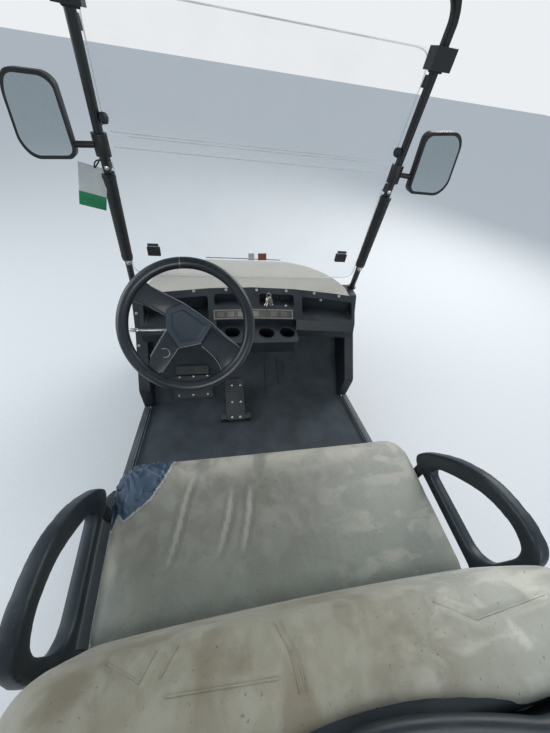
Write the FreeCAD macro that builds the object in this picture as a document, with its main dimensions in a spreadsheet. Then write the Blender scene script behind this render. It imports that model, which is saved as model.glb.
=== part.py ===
"""Golf cart: a two-seat car with a roof, rebuilt as separate pieces.

Frame: millimetres, +Y forward, +X to the right-hand seat, +Z up. The origin is
on the ground, midway between the sides and midway between nose and tail.
"""
import FreeCAD, Part

import math
import os

import Sketcher

Vector = FreeCAD.Vector

# Driving sizes: name, value, what it is
SIZES = [
    ("front_axle_y", 850, "front axle line"),
    ("rear_axle_y", -820, "rear axle line"),
    ("front_track", 870, "between the front wheels' middle planes"),
    ("rear_track", 970, "between the rear wheels' middle planes"),
    ("tyre_radius", 228.5, "tyre, and the height of the axles"),
    ("tyre_width", 216, "tyre at its widest"),
    ("bead_radius", 101.6, "rim where the tyre sits"),
    ("rim_width", 178, "rim, lip to lip"),
    ("rim_sheet", 4, "rim sheet"),
    ("lip_height", 12, "rim lip above the bead seat"),
    ("well_depth", 20, "drop centre below the bead seat"),
    ("disc_offset", 16, "wheel disc outboard of the rim's middle"),
    ("tyre_wall", 11, "tyre side wall"),
    ("tread_depth", 17, "tread and belt"),
    ("hub_radius", 34, "wheel hub"),
    ("hub_length", 66, "wheel hub along its axle"),
    ("spindle_radius", 14, "stub axles at all wheels"),
    ("bearing_gap", 0.3, "running gap of each bearing"),
    ("rest_gap", 0.3, "gap where a moving piece rests on a fixed one"),
    ("lug_ring", 50.8, "wheel studs from the axle"),
    ("lug_radius", 6, "wheel stud holes"),
    ("vent_ring", 66, "wheel disc vents from the axle"),
    ("vent_radius", 9, "wheel disc vents"),
    ("kingpin_x", 300, "kingpins from the middle"),
    ("kingpin_radius", 9.5, "kingpins"),
    ("kingpin_boss", 24, "bosses at the front beam's ends"),
    ("kingpin_span", 80, "height of the bosses"),
    ("ear_height", 15, "knuckle ears"),
    ("yoke_reach", 36, "knuckle web from the kingpin"),
    ("yoke_sheet", 15, "knuckle web"),
    ("yoke_depth", 48, "knuckle front to back"),
    ("arm_reach", 110, "steering arm behind the kingpin"),
    ("arm_radius", 14, "steering arm end and rod eyes"),
    ("rod_pin", 6, "pins of the track rod"),
    ("rod_radius", 7.5, "track rod"),
    ("rod_eye_height", 16, "track rod eyes"),
    ("beam_radius", 25, "front axle beam"),
    ("axle_radius", 35, "rear axle tubes"),
    ("drum_radius", 71, "rear brake drums"),
    ("drum_width", 42, "rear brake drums"),
    ("gear_radius", 92, "rear gear case"),
    ("gear_width", 150, "rear gear case"),
    ("gear_x", 36, "rear gear case from the middle"),
    ("motor_radius", 82, "drive motor"),
    ("motor_length", 230, "drive motor"),
    ("rail_x", 175, "frame rails from the middle"),
    ("rail_width", 45, "frame rails"),
    ("rail_height", 50, "frame rails"),
    ("rail_kick", 80, "rise of the rails over the axles"),
    ("rail_front", 1100, "front end of the rails"),
    ("rail_rear", -1130, "rear end of the rails"),
    ("kick_run", 90, "length over which the rails rise"),
    ("spring_width", 45, "leaf springs"),
    ("leaf_thick", 9, "one spring leaf"),
    ("spring_half", 240, "leaf springs, axle to eye"),
    ("spring_eye", 13, "leaf spring eyes"),
    ("floor_top", 300, "floor mat above the ground"),
    ("floor_sheet", 25, "floor pan"),
    ("floor_rear", -190, "front wall of the seat pod"),
    ("floor_front", 340, "foot of the toe board"),
    ("floor_half_rear", 590, "half width of the floor at the seat"),
    ("floor_half_front", 524, "half width of the floor at the toe board"),
    ("sill_width", 30, "sill strips"),
    ("sill_rise", 12, "sill strips above the floor"),
    ("firewall_y", 600, "top of the toe board and foot of the dash"),
    ("firewall_top", 540, "top of the toe board"),
    ("wing_inner", 505, "inner faces of the footwell sides"),
    ("wing_sheet", 50, "footwell sides"),
    ("wing_top", 800, "top of the footwell sides"),
    ("wing_front", 700, "front of the footwell sides"),
    ("dash_top", 840, "top edge of the dash"),
    ("dash_brow", 480, "brow of the dash"),
    ("dash_brow_z", 742, "height of the dash's brow"),
    ("dash_sweep", 72, "how far the dash's ends come back"),
    ("tray_top", 700, "cup tray"),
    ("tray_height", 64, "cup tray"),
    ("tray_front", 360, "edge of the cup tray towards the seat"),
    ("tray_left", -178, "left end of the cup tray"),
    ("tray_right", 208, "right end of the cup tray"),
    ("cup_radius", 39.5, "cup holes"),
    ("cup_depth", 58, "cup holes"),
    ("skin", 6, "body mouldings"),
    ("arch_radius", 322, "front wheel arches"),
    ("rear_arch", 262, "rear wheel arches"),
    ("chin_half", 204, "half width of the nose between the wheels"),
    ("nose_y", 1165, "nose"),
    ("deck_top", 556, "top of the seat pod and rear deck"),
    ("tail_y", -1150, "tail of the body"),
    ("body_foot", 255, "lower edge of the body"),
    ("pod_rear", -705, "rear of the hole under the seat"),
    ("pod_ledge", 35, "ledge under the seat's front edge"),
    ("bag_half", 340, "half width of the bag well"),
    ("bag_floor", 363, "floor of the bag well"),
    ("battery_half", 330, "half width of the batteries"),
    ("battery_height", 240, "batteries"),
    ("battery_depth", 250, "batteries front to back"),
    ("seat_half", 518.6, "half width of the seat cushion"),
    ("seat_gap", 7.4, "between the seat cushion and the hip restraints"),
    ("body_margin", 59, "rear body beyond the hip restraints' middle"),
    ("pod_margin", 11.4, "hole under the seat beyond the cushion"),
    ("seat_front", -150, "front edge of the seat cushion"),
    ("seat_rear", -620, "rear edge of the seat cushion"),
    ("seat_top", 690, "top of the seat cushion"),
    ("seat_round", 75, "corners of the seat cushion"),
    ("board_sheet", 24, "seat board"),
    ("seat_hinge_y", -520, "seat hinge"),
    ("hinge_pin", 5, "seat hinge pin"),
    ("back_thick", 115, "backrest"),
    ("back_foot", 722, "lower edge of the backrest"),
    ("back_head", 1035, "upper edge of the backrest"),
    ("back_foot_y", -585, "front face at the backrest's foot"),
    ("back_lean", 40, "how far the backrest leans back"),
    ("shell_thick", 46, "backrest shell"),
    ("loop_thick", 38, "hip restraints"),
    ("strut_radius", 14, "roof struts"),
    ("sleeve_radius", 21.5, "sleeves on the front struts"),
    ("strut_foot_x", 553.6, "front struts at the foot"),
    ("strut_foot_y", 675, "front struts at the foot"),
    ("strut_head_x", 495, "front struts at their bend"),
    ("strut_head_y", 535, "front struts at their bend"),
    ("strut_head_z", 1695, "front struts at their bend"),
    ("rear_strut_y", -735, "rear struts at the foot"),
    ("roof_under", 1826, "struts' top under the roof"),
    ("roof_half", 565, "half width of the roof"),
    ("roof_front", 630, "front of the roof"),
    ("roof_rear", -900, "rear of the roof"),
    ("roof_height", 78, "roof from its rim to its crown"),
    ("roof_skin", 6, "roof moulding"),
    ("screen_sheet", 5, "windshield"),
    ("screen_foot", 846, "lower edge of the windshield"),
    ("screen_split", 1372, "fold of the windshield"),
    ("screen_head", 1688, "upper edge of the windshield"),
    ("wheel_x", -259, "steering wheel"),
    ("wheel_y", 15, "steering wheel"),
    ("wheel_z", 1096, "steering wheel"),
    ("wheel_tilt", 46.4, "steering wheel's axis from upright, degrees"),
    ("wheel_turn", -35, "how far the wheel is turned, degrees"),
    ("wheel_radius", 182, "steering wheel"),
    ("grip_radius", 15.5, "steering wheel's rim"),
    ("column_radius", 24, "steering column"),
    ("column_length", 846, "steering column"),
    ("mirror_y", 545, "mirrors"),
    ("mirror_thick", 30, "mirror frames"),
    ("mirror_glass", 3, "mirror glass"),
    ("lamp_radius", 62, "headlights"),
    ("lamp_x", 335, "headlights"),
    ("lamp_z", 640, "headlights"),
    ("tail_x", 470, "tail lights"),
    ("tail_z", 500, "tail lights"),
    ("basket_half", 500, "basket"),
    ("basket_top", 905, "basket"),
    ("basket_height", 170, "basket"),
    ("basket_depth", 150, "basket front to back"),
    ("bumper_depth", 15, "how far the front bumper stands out"),
    ("bumper_rear", 30, "how far the rear bumper stands out"),
    ("hitch_radius", 8, "hitch pin hole in the rear bumper"),
    ("rack_radius", 12.5, "bag rack tube"),
    ("rack_rear", -1000, "bag rack tube"),
    ("rack_z", 935, "bag rack tube"),
]

doc = FreeCAD.newDocument("golf_cart")
sheet = doc.addObject("Spreadsheet::Sheet", "dims")


class Size:
    """A number worked out from the sheet: its value now, and its formula."""

    def __init__(self, value, text):
        self.value = float(value)
        self.text = text

    @staticmethod
    def of(number):
        return number if isinstance(number, Size) else Size(number, f"({number})")

    def joined(self, sign, other, value):
        return Size(value, f"({self.text} {sign} {Size.of(other).text})")

    def __add__(self, other):
        return self.joined("+", other, self.value + Size.of(other).value)

    def __sub__(self, other):
        return self.joined("-", other, self.value - Size.of(other).value)

    def __mul__(self, other):
        return self.joined("*", other, self.value * Size.of(other).value)

    def __truediv__(self, other):
        return self.joined("/", other, self.value / Size.of(other).value)

    def __radd__(self, other):
        return Size.of(other) + self

    def __rsub__(self, other):
        return Size.of(other) - self

    def __rmul__(self, other):
        return Size.of(other) * self

    def __neg__(self):
        return Size(-self.value, f"(-{self.text})")


class Dims:
    """The sheet's sizes by name."""


def fill_sheet():
    """Write every driving size to the sheet and hand them back by name."""
    dims = Dims()
    for row, (name, value, meaning) in enumerate(SIZES, start=1):
        sheet.set(f"A{row}", name)
        sheet.set(f"B{row}", str(value))
        sheet.set(f"C{row}", meaning)
        sheet.setAlias(f"B{row}", name)
    doc.recompute()
    for name, _value, _meaning in SIZES:
        setattr(dims, name, Size(getattr(sheet, name), f"dims.{name}"))
    return dims


d = fill_sheet()
# Widths that follow from the seat's
d.loop_x = d.seat_half + d.seat_gap + d.loop_thick / 2
d.body_half = d.loop_x + d.body_margin
d.pod_half = d.seat_half + d.pod_margin
d.back_half = d.seat_half - 8.6
d.rear_strut_x = d.loop_x + 1
NODES = []


def tie(thing, **sizes):
    """Bind properties to their formulas."""
    for name, size in sizes.items():
        thing.setExpression(name, Size.of(size).text)


def put(thing, point):
    """Bind a piece's place."""
    for axis, size in zip("xyz", point):
        thing.setExpression(f"Placement.Base.{axis}", Size.of(size).text)


def node(name, thing):
    """Name a finished sub-part."""
    thing.Label = name
    NODES.append(thing)
    return thing


def values(point):
    return Vector(*[Size.of(size).value for size in point])


def box(low, high):
    """A block between two corners."""
    block = doc.addObject("Part::Box", "block")
    tie(block, Length=high[0] - low[0], Width=high[1] - low[1], Height=high[2] - low[2])
    put(block, low)
    return block


def cylinder(centre, radius, length, along):
    """A cylinder whose middle is at a point, along x, y or z."""
    rod = doc.addObject("Part::Cylinder", "rod")
    tie(rod, Radius=radius, Height=length)
    turns = {"x": FreeCAD.Rotation(Vector(0, 1, 0), 90), "y": FreeCAD.Rotation(Vector(1, 0, 0), -90),
             "z": FreeCAD.Rotation()}
    start = list(centre)
    index = "xyz".index(along)
    start[index] = start[index] - Size.of(length) / 2
    rod.Placement = FreeCAD.Placement(values(start), turns[along])
    put(rod, start)
    return rod


def distance(start, end):
    """The length between two points, with its formula."""
    gaps = [Size.of(b) - a for a, b in zip(start, end)]
    text = "sqrt(" + " + ".join(f"{gap.text}^2" for gap in gaps) + ")"
    return Size(math.sqrt(sum(gap.value ** 2 for gap in gaps)), text)


def rod(start, end, radius):
    """A round bar between two points."""
    bar = doc.addObject("Part::Cylinder", "bar")
    tie(bar, Radius=radius, Height=distance(start, end))
    turn = FreeCAD.Rotation(Vector(0, 0, 1), values(end) - values(start))
    bar.Placement = FreeCAD.Placement(values(start), turn)
    put(bar, start)
    return bar


def cut(base, *tools):
    """Take tools away from a base, one after the other."""
    for tool in tools:
        part = doc.addObject("Part::Cut", "cut")
        part.Base, part.Tool = base, tool
        base = part
    return base


def fuse(*parts):
    whole = doc.addObject("Part::MultiFuse", "fuse")
    whole.Shapes = list(parts)
    whole.Refine = True
    return whole


def common(*parts):
    shared = doc.addObject("Part::MultiCommon", "common")
    shared.Shapes = list(parts)
    return shared


def group(*parts):
    """Several solids of one node that only touch or stand apart."""
    whole = doc.addObject("Part::Compound", "group")
    whole.Links = list(parts)
    return whole


def made(shape):
    """A piece whose shape is set directly."""
    piece = doc.addObject("Part::Feature", "piece")
    piece.Shape = shape
    return piece


PLANES = {
    "XY_Plane": (1, Vector(0, 0, 1)),
    "XZ_Plane": (-1, Vector(0, 1, 0)),
    "YZ_Plane": (1, Vector(1, 0, 0)),
}


def draw(body, role, points, offset):
    """A closed outline on a plane of the body, each corner bound to its formulas."""
    sketch = body.newObject("Sketcher::SketchObject", "outline")
    plane = next(item for item in body.Origin.OriginFeatures if item.Role == role)
    sketch.AttachmentSupport = [(plane, "")]
    sketch.MapMode = "FlatFace"
    offset = Size.of(offset)
    sketch.AttachmentOffset = FreeCAD.Placement(Vector(0, 0, offset.value), FreeCAD.Rotation())
    sketch.setExpression("AttachmentOffset.Base.z", offset.text)
    corners = [(Size.of(a), Size.of(b)) for a, b in points]
    count = len(corners)
    for index, (a, b) in enumerate(corners):
        after = corners[(index + 1) % count]
        line = Part.LineSegment(Vector(a.value, b.value, 0), Vector(after[0].value, after[1].value, 0))
        sketch.addGeometry(line, False)
    for index in range(count):
        sketch.addConstraint(Sketcher.Constraint("Coincident", index, 2, (index + 1) % count, 1))
    for index, corner in enumerate(corners):
        for kind, size in zip(("DistanceX", "DistanceY"), corner):
            number = sketch.addConstraint(Sketcher.Constraint(kind, -1, 1, index, 1, size.value))
            sketch.setExpression(f"Constraints[{number}]", size.text)
    return sketch


def round_corners(body, feature, role, points, rounds):
    """Round the padded outline's upright edges: rounds holds (radius, corner numbers)."""
    normal = PLANES[role][1]
    axes = [index for index in range(3) if not normal[index]]
    for radius, numbers in rounds:
        doc.recompute()
        names = []
        for number in numbers:
            spot = [Size.of(size).value for size in points[number]]
            for index, edge in enumerate(feature.Shape.Edges, start=1):
                if not isinstance(edge.Curve, Part.Line):
                    continue
                start, end = edge.Vertexes[0].Point, edge.Vertexes[-1].Point
                if (end - start).cross(normal).Length > 0.01:
                    continue
                if all(abs(start[axis] - value) < 0.01 for axis, value in zip(axes, spot)):
                    names.append(f"Edge{index}")
        fillet = body.newObject("PartDesign::Fillet", "rounds")
        fillet.Base = (feature, names)
        tie(fillet, Radius=radius)
        feature = fillet
    return feature


def plate(role, points, low, high, rounds=()):
    """An outline padded between two heights along its plane's normal."""
    body = doc.addObject("PartDesign::Body", "plate")
    sign = PLANES[role][0]
    sketch = draw(body, role, points, low if sign > 0 else -Size.of(high))
    pad = body.newObject("PartDesign::Pad", "pad")
    pad.Profile = sketch
    tie(pad, Length=Size.of(high) - low)
    body.Tip = pad
    body.Tip = round_corners(body, pad, role, points, rounds)
    return body


def turned(points, centre):
    """A profile of (along, radius) points turned about the body's X axis."""
    body = doc.addObject("PartDesign::Body", "turned")
    sketch = draw(body, "XY_Plane", points, 0)
    turn = body.newObject("PartDesign::Revolution", "turn")
    turn.Profile = sketch
    turn.ReferenceAxis = (sketch, ["H_Axis"])
    turn.Angle = 360
    body.Tip = turn
    put(body, centre)
    return body


def ring_of_holes(body, ring, radius, count):
    """Holes through a turned body, spaced round its X axis."""
    before = body.Tip
    sketch = body.newObject("Sketcher::SketchObject", "hole")
    plane = next(item for item in body.Origin.OriginFeatures if item.Role == "YZ_Plane")
    sketch.AttachmentSupport = [(plane, "")]
    sketch.MapMode = "FlatFace"
    sketch.addGeometry(Part.Circle(Vector(0, ring.value, 0), Vector(0, 0, 1), radius.value), False)
    rows = [sketch.addConstraint(Sketcher.Constraint("Radius", 0, radius.value)),
            sketch.addConstraint(Sketcher.Constraint("DistanceY", -1, 1, 0, 3, ring.value))]
    sketch.addConstraint(Sketcher.Constraint("PointOnObject", 0, 3, -2))
    for number, size in zip(rows, (radius, ring)):
        sketch.setExpression(f"Constraints[{number}]", size.text)
    hole = body.newObject("PartDesign::Pocket", "hole")
    hole.Profile = sketch
    hole.Type = "ThroughAll"
    hole.Midplane = True
    doc.recompute()
    pattern = body.newObject("PartDesign::PolarPattern", "holes")
    pattern.Originals = [hole]
    axis = next(item for item in body.Origin.OriginFeatures if item.Role == "X_Axis")
    pattern.Axis = (axis, [""])
    pattern.Angle = 360
    pattern.Occurrences = count
    body.Tip = pattern
    doc.recompute()
    if not pattern.Shape.Volume < before.Shape.Volume:
        raise ValueError("the holes cut nothing")
    return body


def mirrored(side, point):
    """A point on the right-hand side, or its twin on the left."""
    return (Size.of(point[0]) * side, point[1], point[2])


def mirror_points(points):
    """Close a right-hand outline of (x, y) points with its left-hand twin."""
    return list(points) + [(-Size.of(a), b) for a, b in reversed(points)]


SIDES = (("left", -1), ("right", 1))

# Wheels: name, side, axle line, track
WHEELS = [
    ("front_left", -1, d.front_axle_y, d.front_track),
    ("front_right", 1, d.front_axle_y, d.front_track),
    ("rear_left", -1, d.rear_axle_y, d.rear_track),
    ("rear_right", 1, d.rear_axle_y, d.rear_track),
]

rim_half = d.rim_width / 2
lip_radius = d.bead_radius + d.lip_height
well_radius = d.bead_radius - d.well_depth
hub_bore = d.spindle_radius + d.bearing_gap


def rim_profile(side):
    """The wheel's sheet section: lips, bead seats, drop centre, disc and hub."""
    inner_seat = d.bead_radius - d.rim_sheet
    inner_well = well_radius - d.rim_sheet
    half_well, half_step = 22, 30
    face = d.disc_offset
    profile = [
        (-rim_half, lip_radius), (-rim_half + d.rim_sheet, lip_radius),
        (-rim_half + d.rim_sheet, d.bead_radius), (-half_step, d.bead_radius),
        (-half_well, well_radius), (half_well, well_radius), (half_step, d.bead_radius),
        (rim_half - d.rim_sheet, d.bead_radius), (rim_half - d.rim_sheet, lip_radius),
        (rim_half, lip_radius), (rim_half, inner_seat), (half_step + 2, inner_seat),
        (half_well + 2, inner_well), (face + d.rim_sheet, inner_well),
        (face + d.rim_sheet, d.hub_radius), (face + d.hub_length / 2, d.hub_radius),
        (face + d.hub_length / 2, hub_bore), (face - d.hub_length / 2, hub_bore),
        (face - d.hub_length / 2, d.hub_radius), (face, d.hub_radius),
        (face, inner_well), (-half_well - 2, inner_well), (-half_step - 2, inner_seat),
        (-rim_half, inner_seat),
    ]
    return [(Size.of(a) * side, b) for a, b in profile]


tyre_half = d.tyre_width / 2
bead_half = rim_half - d.rim_sheet
# Tyre: how far from its middle plane and from its axle, outside and inside, one side
TYRE_SKIN = [
    (bead_half, lip_radius + 3), (tyre_half, d.bead_radius + 46), (tyre_half, d.tyre_radius - 44),
    (tyre_half - 13, d.tyre_radius - 9), (tyre_half - 34, d.tyre_radius),
]
TYRE_LINING = [
    (bead_half - d.tyre_wall, d.bead_radius - 4), (tyre_half - d.tyre_wall, d.bead_radius + 50),
    (tyre_half - d.tyre_wall, d.tyre_radius - 52), (tyre_half - 34, d.tyre_radius - d.tread_depth),
]
SKIN_FLATS, LINING_FLATS = 28, 14


def ring_in_flats(stations, flats):
    """A barrel of level-footed rings: its flats touch the circles of the stations."""
    right = [(place.value, radius.value) for place, radius in stations]
    rings = []
    for place, radius in [(-place, radius) for place, radius in right] + right[::-1]:
        reach = radius / math.cos(math.pi / flats)
        turns = [math.pi * (2 * index + 1) / flats for index in range(flats)]
        ring = [Vector(place, reach * math.sin(turn), -reach * math.cos(turn)) for turn in turns]
        rings.append(ring + ring[:1])
    faces = [Part.Face(Part.makePolygon(ring)) for ring in (rings[0], rings[-1])]
    for near, far in zip(rings, rings[1:]):
        for index in range(flats):
            corners = [near[index], near[index + 1], far[index + 1], far[index]]
            faces.append(Part.Face(Part.makePolygon(corners + corners[:1])))
    return Part.makeSolid(Part.makeShell(faces))


bore_start = Vector(-tyre_half.value, 0, 0)
rim_bore = Part.makeCylinder(d.bead_radius.value, 2 * tyre_half.value, bore_start, Vector(1, 0, 0))
tyre_shape = ring_in_flats(TYRE_SKIN, SKIN_FLATS).cut(ring_in_flats(TYRE_LINING, LINING_FLATS)).cut(rim_bore)


def tyre(centre):
    """The tyre at a wheel's centre."""
    piece = made(tyre_shape)
    piece.Placement.Base = values(centre)
    put(piece, centre)
    return piece


for name, side, axle_y, track in WHEELS:
    centre = (track / 2 * side, axle_y, d.tyre_radius)
    node(f"tyre_{name}", tyre(centre))
    rim = turned(rim_profile(side), centre)
    ring_of_holes(rim, d.lug_ring, d.lug_radius, 4)
    node(f"rim_{name}", ring_of_holes(rim, d.vent_ring, d.vent_radius, 8))

# Front axle: a beam with a boss at each end for the kingpin
boss_bore = d.kingpin_radius + d.bearing_gap
axle_z = d.tyre_radius
boss_low = axle_z - d.kingpin_span / 2
boss_high = axle_z + d.kingpin_span / 2
beam = cylinder((Size.of(0), d.front_axle_y, axle_z), d.beam_radius, d.kingpin_x * 2, "x")
bosses = [cylinder((d.kingpin_x * side, d.front_axle_y, axle_z), d.kingpin_boss, d.kingpin_span, "z")
          for _name, side in SIDES]
bores = [cylinder((d.kingpin_x * side, d.front_axle_y, axle_z), boss_bore, d.kingpin_span * 2, "z")
         for _name, side in SIDES]
node("front_axle", cut(fuse(beam, *bosses), *bores))

# Knuckles: two ears and a web round the boss, the kingpin, the stub axle and the arm
ear_top = boss_high + d.bearing_gap
ear_foot = boss_low - d.bearing_gap
arm_z = ear_foot - d.ear_height / 2
rod_eye_z = ear_foot - d.ear_height - d.bearing_gap - d.rod_eye_height / 2
pin_foot = rod_eye_z - d.rod_eye_height / 2 - 2
spindle_end = d.front_track / 2 + d.disc_offset + d.hub_length / 2 + 6


def knuckle(side):
    pin_x = d.kingpin_x * side
    y = d.front_axle_y
    web_near = d.kingpin_x + d.yoke_reach
    web_far = web_near + d.yoke_sheet
    parts = []
    for low in (ear_foot - d.ear_height, ear_top):
        parts.append(cylinder((pin_x, y, low + d.ear_height / 2), d.yoke_depth / 2, d.ear_height, "z"))
        ends = (pin_x, web_far * side) if side > 0 else (web_far * side, pin_x)
        parts.append(box((ends[0], y - d.yoke_depth / 2, low),
                         (ends[1], y + d.yoke_depth / 2, low + d.ear_height)))
    ends = (web_near * side, web_far * side) if side > 0 else (web_far * side, web_near * side)
    parts.append(box((ends[0], y - d.yoke_depth / 2, ear_foot - d.ear_height),
                     (ends[1], y + d.yoke_depth / 2, ear_top + d.ear_height)))
    parts.append(cylinder((pin_x, y, axle_z), d.kingpin_radius, d.kingpin_span + d.ear_height, "z"))
    parts.append(rod((web_far * side, y, axle_z), (spindle_end * side, y, axle_z), d.spindle_radius))
    tip = (pin_x, y - d.arm_reach, arm_z)
    parts.append(rod((pin_x, y, arm_z), tip, 7))
    parts.append(cylinder(tip, d.arm_radius, d.ear_height, "z"))
    parts.append(rod((tip[0], tip[1], arm_z), (tip[0], tip[1], pin_foot), d.rod_pin))
    return fuse(*parts)


for name, side in SIDES:
    node(f"knuckle_{name}", knuckle(side))

rod_half = d.kingpin_x
rod_y = d.front_axle_y - d.arm_reach
eyes, eye_bores = [], []
for _name, side in SIDES:
    eye_at = (rod_half * side, rod_y, rod_eye_z)
    eyes.append(cylinder(eye_at, d.arm_radius, d.rod_eye_height, "z"))
    eye_bores.append(cylinder(eye_at, d.rod_pin + d.bearing_gap, d.rod_eye_height * 2, "z"))
rod_bar = cylinder((Size.of(0), rod_y, rod_eye_z), d.rod_radius, rod_half * 2 - d.arm_radius, "x")
node("track_rod", cut(fuse(rod_bar, *eyes), *eye_bores))

# Rear axle: tubes, brake drums and gear case, turned about one line
wheel_inside = d.rear_track / 2 + d.disc_offset - d.hub_length / 2
drum_out = wheel_inside - 1
drum_in = drum_out - d.drum_width
stub_end = d.rear_track / 2 + d.disc_offset + d.hub_length / 2 + 6
gear_low = d.gear_x - d.gear_width / 2
gear_high = d.gear_x + d.gear_width / 2
flare = 26
axle_line = turned([
    (-stub_end, 0), (-stub_end, d.spindle_radius), (-drum_out, d.spindle_radius), (-drum_out, d.drum_radius),
    (-drum_in, d.drum_radius), (-drum_in, d.axle_radius), (gear_low - flare, d.axle_radius),
    (gear_low, d.gear_radius), (gear_high, d.gear_radius), (gear_high + flare, d.axle_radius),
    (drum_in, d.axle_radius), (drum_in, d.drum_radius), (drum_out, d.drum_radius),
    (drum_out, d.spindle_radius), (stub_end, d.spindle_radius), (stub_end, 0),
], (Size.of(0), d.rear_axle_y, axle_z))
motor_rear = d.rear_axle_y + d.gear_radius
motor_cap = 24
cap_at = (d.gear_x, motor_rear + d.motor_length + motor_cap / 2, axle_z)
motor = fuse(
    cylinder((d.gear_x, motor_rear + d.motor_length / 2, axle_z), d.motor_radius, d.motor_length, "y"),
    cylinder(cap_at, d.motor_radius * 0.6, motor_cap, "y"),
)
node("rear_axle", group(axle_line, motor))

# Frame rails: low between the axles, raised over both
rail_low = d.floor_top - d.floor_sheet - d.rail_height
kick_low = rail_low + d.rail_kick
rise_front = d.floor_front + 60
rise_rear = d.floor_rear - 290


def rail_side(step):
    """The rail's lower or upper line, front to rear."""
    return [
        (d.rail_front, kick_low + step), (rise_front + d.kick_run, kick_low + step),
        (rise_front, rail_low + step), (rise_rear, rail_low + step),
        (rise_rear - d.kick_run, kick_low + step), (d.rail_rear, kick_low + step),
    ]


rail_points = rail_side(0) + list(reversed(rail_side(d.rail_height)))
rail_in = d.rail_x - d.rail_width / 2
rail_out = d.rail_x + d.rail_width / 2
node("frame_rails", group(plate("YZ_Plane", rail_points, -rail_out, -rail_in),
                          plate("YZ_Plane", rail_points, rail_in, rail_out)))
rail_top = rail_low + d.rail_height
kick_top = rail_top + d.rail_kick

# Cross members between the rails: place along the cart, height of the foot, depth
CROSS = [
    (d.rail_front - 40, kick_low), (rise_front + d.kick_run + 50, kick_low), (d.floor_front - 40, rail_low),
    (d.floor_rear + 60, rail_low), (rise_rear + 50, rail_low), (d.rear_axle_y - 150, kick_low),
    (d.rail_rear + 40, kick_low),
]
cross_depth = 40
members = [box((-rail_in, y - cross_depth / 2, low), (rail_in, y + cross_depth / 2, low + d.rail_height))
           for y, low in CROSS]
# Outriggers carry the floor's edges and the body: place along the cart, reach, height of the foot
OUTRIGGERS = [
    (d.floor_front - 40, d.floor_half_front, rail_low), (d.floor_rear + 60, d.floor_half_rear - 20, rail_low),
]
for y, reach, low in OUTRIGGERS:
    for _name, side in SIDES:
        ends = (rail_out, reach) if side > 0 else (-reach, -rail_out)
        near, far = y - cross_depth / 2, y + cross_depth / 2
        members.append(box((ends[0], near, low), (ends[1], far, low + d.rail_height)))




def leaf_spring(side, axle_y, seat_z, eye_z):
    """A pack of two leaves under the axle and an eye at each end of the longer one."""
    x = (d.rail_x - d.spring_width / 2) if side > 0 else -(d.rail_x + d.spring_width / 2)
    top, eye = seat_z.value, eye_z.value
    half, thick = d.spring_half.value, d.leaf_thick.value
    mid = axle_y.value
    leaves = []
    for number, share in enumerate((1.0, 0.62)):
        drop = number * thick
        end_z = top + (eye - top) * share ** 2 - drop
        faces = []
        for step in (0, -thick):
            rear = Vector(x.value, mid - half * share, end_z + step)
            crown = Vector(x.value, mid, top - drop + step)
            arc = Part.Arc(rear, crown,
                           Vector(x.value, mid + half * share, end_z + step)).toShape()
            faces.append(arc)
        ends = [Part.makeLine(faces[0].Vertexes[i].Point, faces[1].Vertexes[i].Point) for i in (0, 1)]
        face = Part.Face(Part.Wire(Part.__sortEdges__([faces[0], ends[0], faces[1], ends[1]])))
        leaves.append(face.extrude(Vector(d.spring_width.value, 0, 0)))
    for end in (-1, 1):
        leaves.append(Part.makeCylinder(d.spring_eye.value, d.spring_width.value,
                                        Vector(x.value, mid + end * half, eye - thick / 2), Vector(1, 0, 0)))
    whole = leaves[0].fuse(leaves[1:])
    return whole.removeSplitter()


def spring_pair(axle_y, radius):
    seat_z = axle_z - radius
    eye_z = kick_low - d.spring_eye + d.leaf_thick / 2
    return [leaf_spring(side, axle_y, seat_z, eye_z) for _name, side in SIDES]


front_springs = spring_pair(d.front_axle_y, d.beam_radius)
rear_springs = spring_pair(d.rear_axle_y, d.axle_radius)
node("leaf_springs", made(Part.Compound(front_springs + rear_springs)))

# Floor, toe board and sills
floor_low = d.floor_top - d.floor_sheet
floor_edge = [(d.floor_half_rear, d.floor_rear), (d.floor_half_front, d.floor_front)]
floor_pan = plate("XY_Plane", mirror_points(floor_edge), floor_low, d.floor_top)
sill_out = [
    (d.floor_half_front + d.sill_width, d.floor_front - 26),
    (d.floor_half_rear + d.sill_width, d.floor_rear),
]
floor_slope = (d.floor_half_rear - d.floor_half_front) / (d.floor_front - d.floor_rear)
sill_front = (d.floor_half_front + floor_slope * 26, d.floor_front - 26)
sills = []
for _name, side in SIDES:
    points = [(Size.of(a) * side, b) for a, b in [floor_edge[0], sill_front] + sill_out]
    sills.append(plate("XY_Plane", points, floor_low - 18, d.floor_top + d.sill_rise))
node("sill_strips", group(*sills))
toe_sheet = 18
hub = values((d.wheel_x, d.wheel_y, d.wheel_z))
column_slope = math.radians(d.wheel_tilt.value)
column_axis = Vector(0, math.sin(column_slope), -math.cos(column_slope))


def on_column(step):
    """A point on the column's line, a distance below the steering wheel."""
    return hub + column_axis * step


def column_way():
    """The clear way for the column and for the gear box at its foot."""
    way = Part.makeCylinder(d.column_radius.value + 8, 1100, hub, column_axis)
    room = Part.makeCylinder(48, 300, on_column(d.column_length.value - 6), column_axis)
    return made(way.fuse(room))


toe_board = plate("YZ_Plane", [
    (d.floor_front, floor_low), (d.floor_front, d.floor_top), (d.firewall_y, d.firewall_top),
    (d.firewall_y + toe_sheet, d.firewall_top - toe_sheet), (d.floor_front + toe_sheet, floor_low),
], -d.wing_inner, d.wing_inner)
node("floor", group(floor_pan, cut(toe_board, column_way())))

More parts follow.
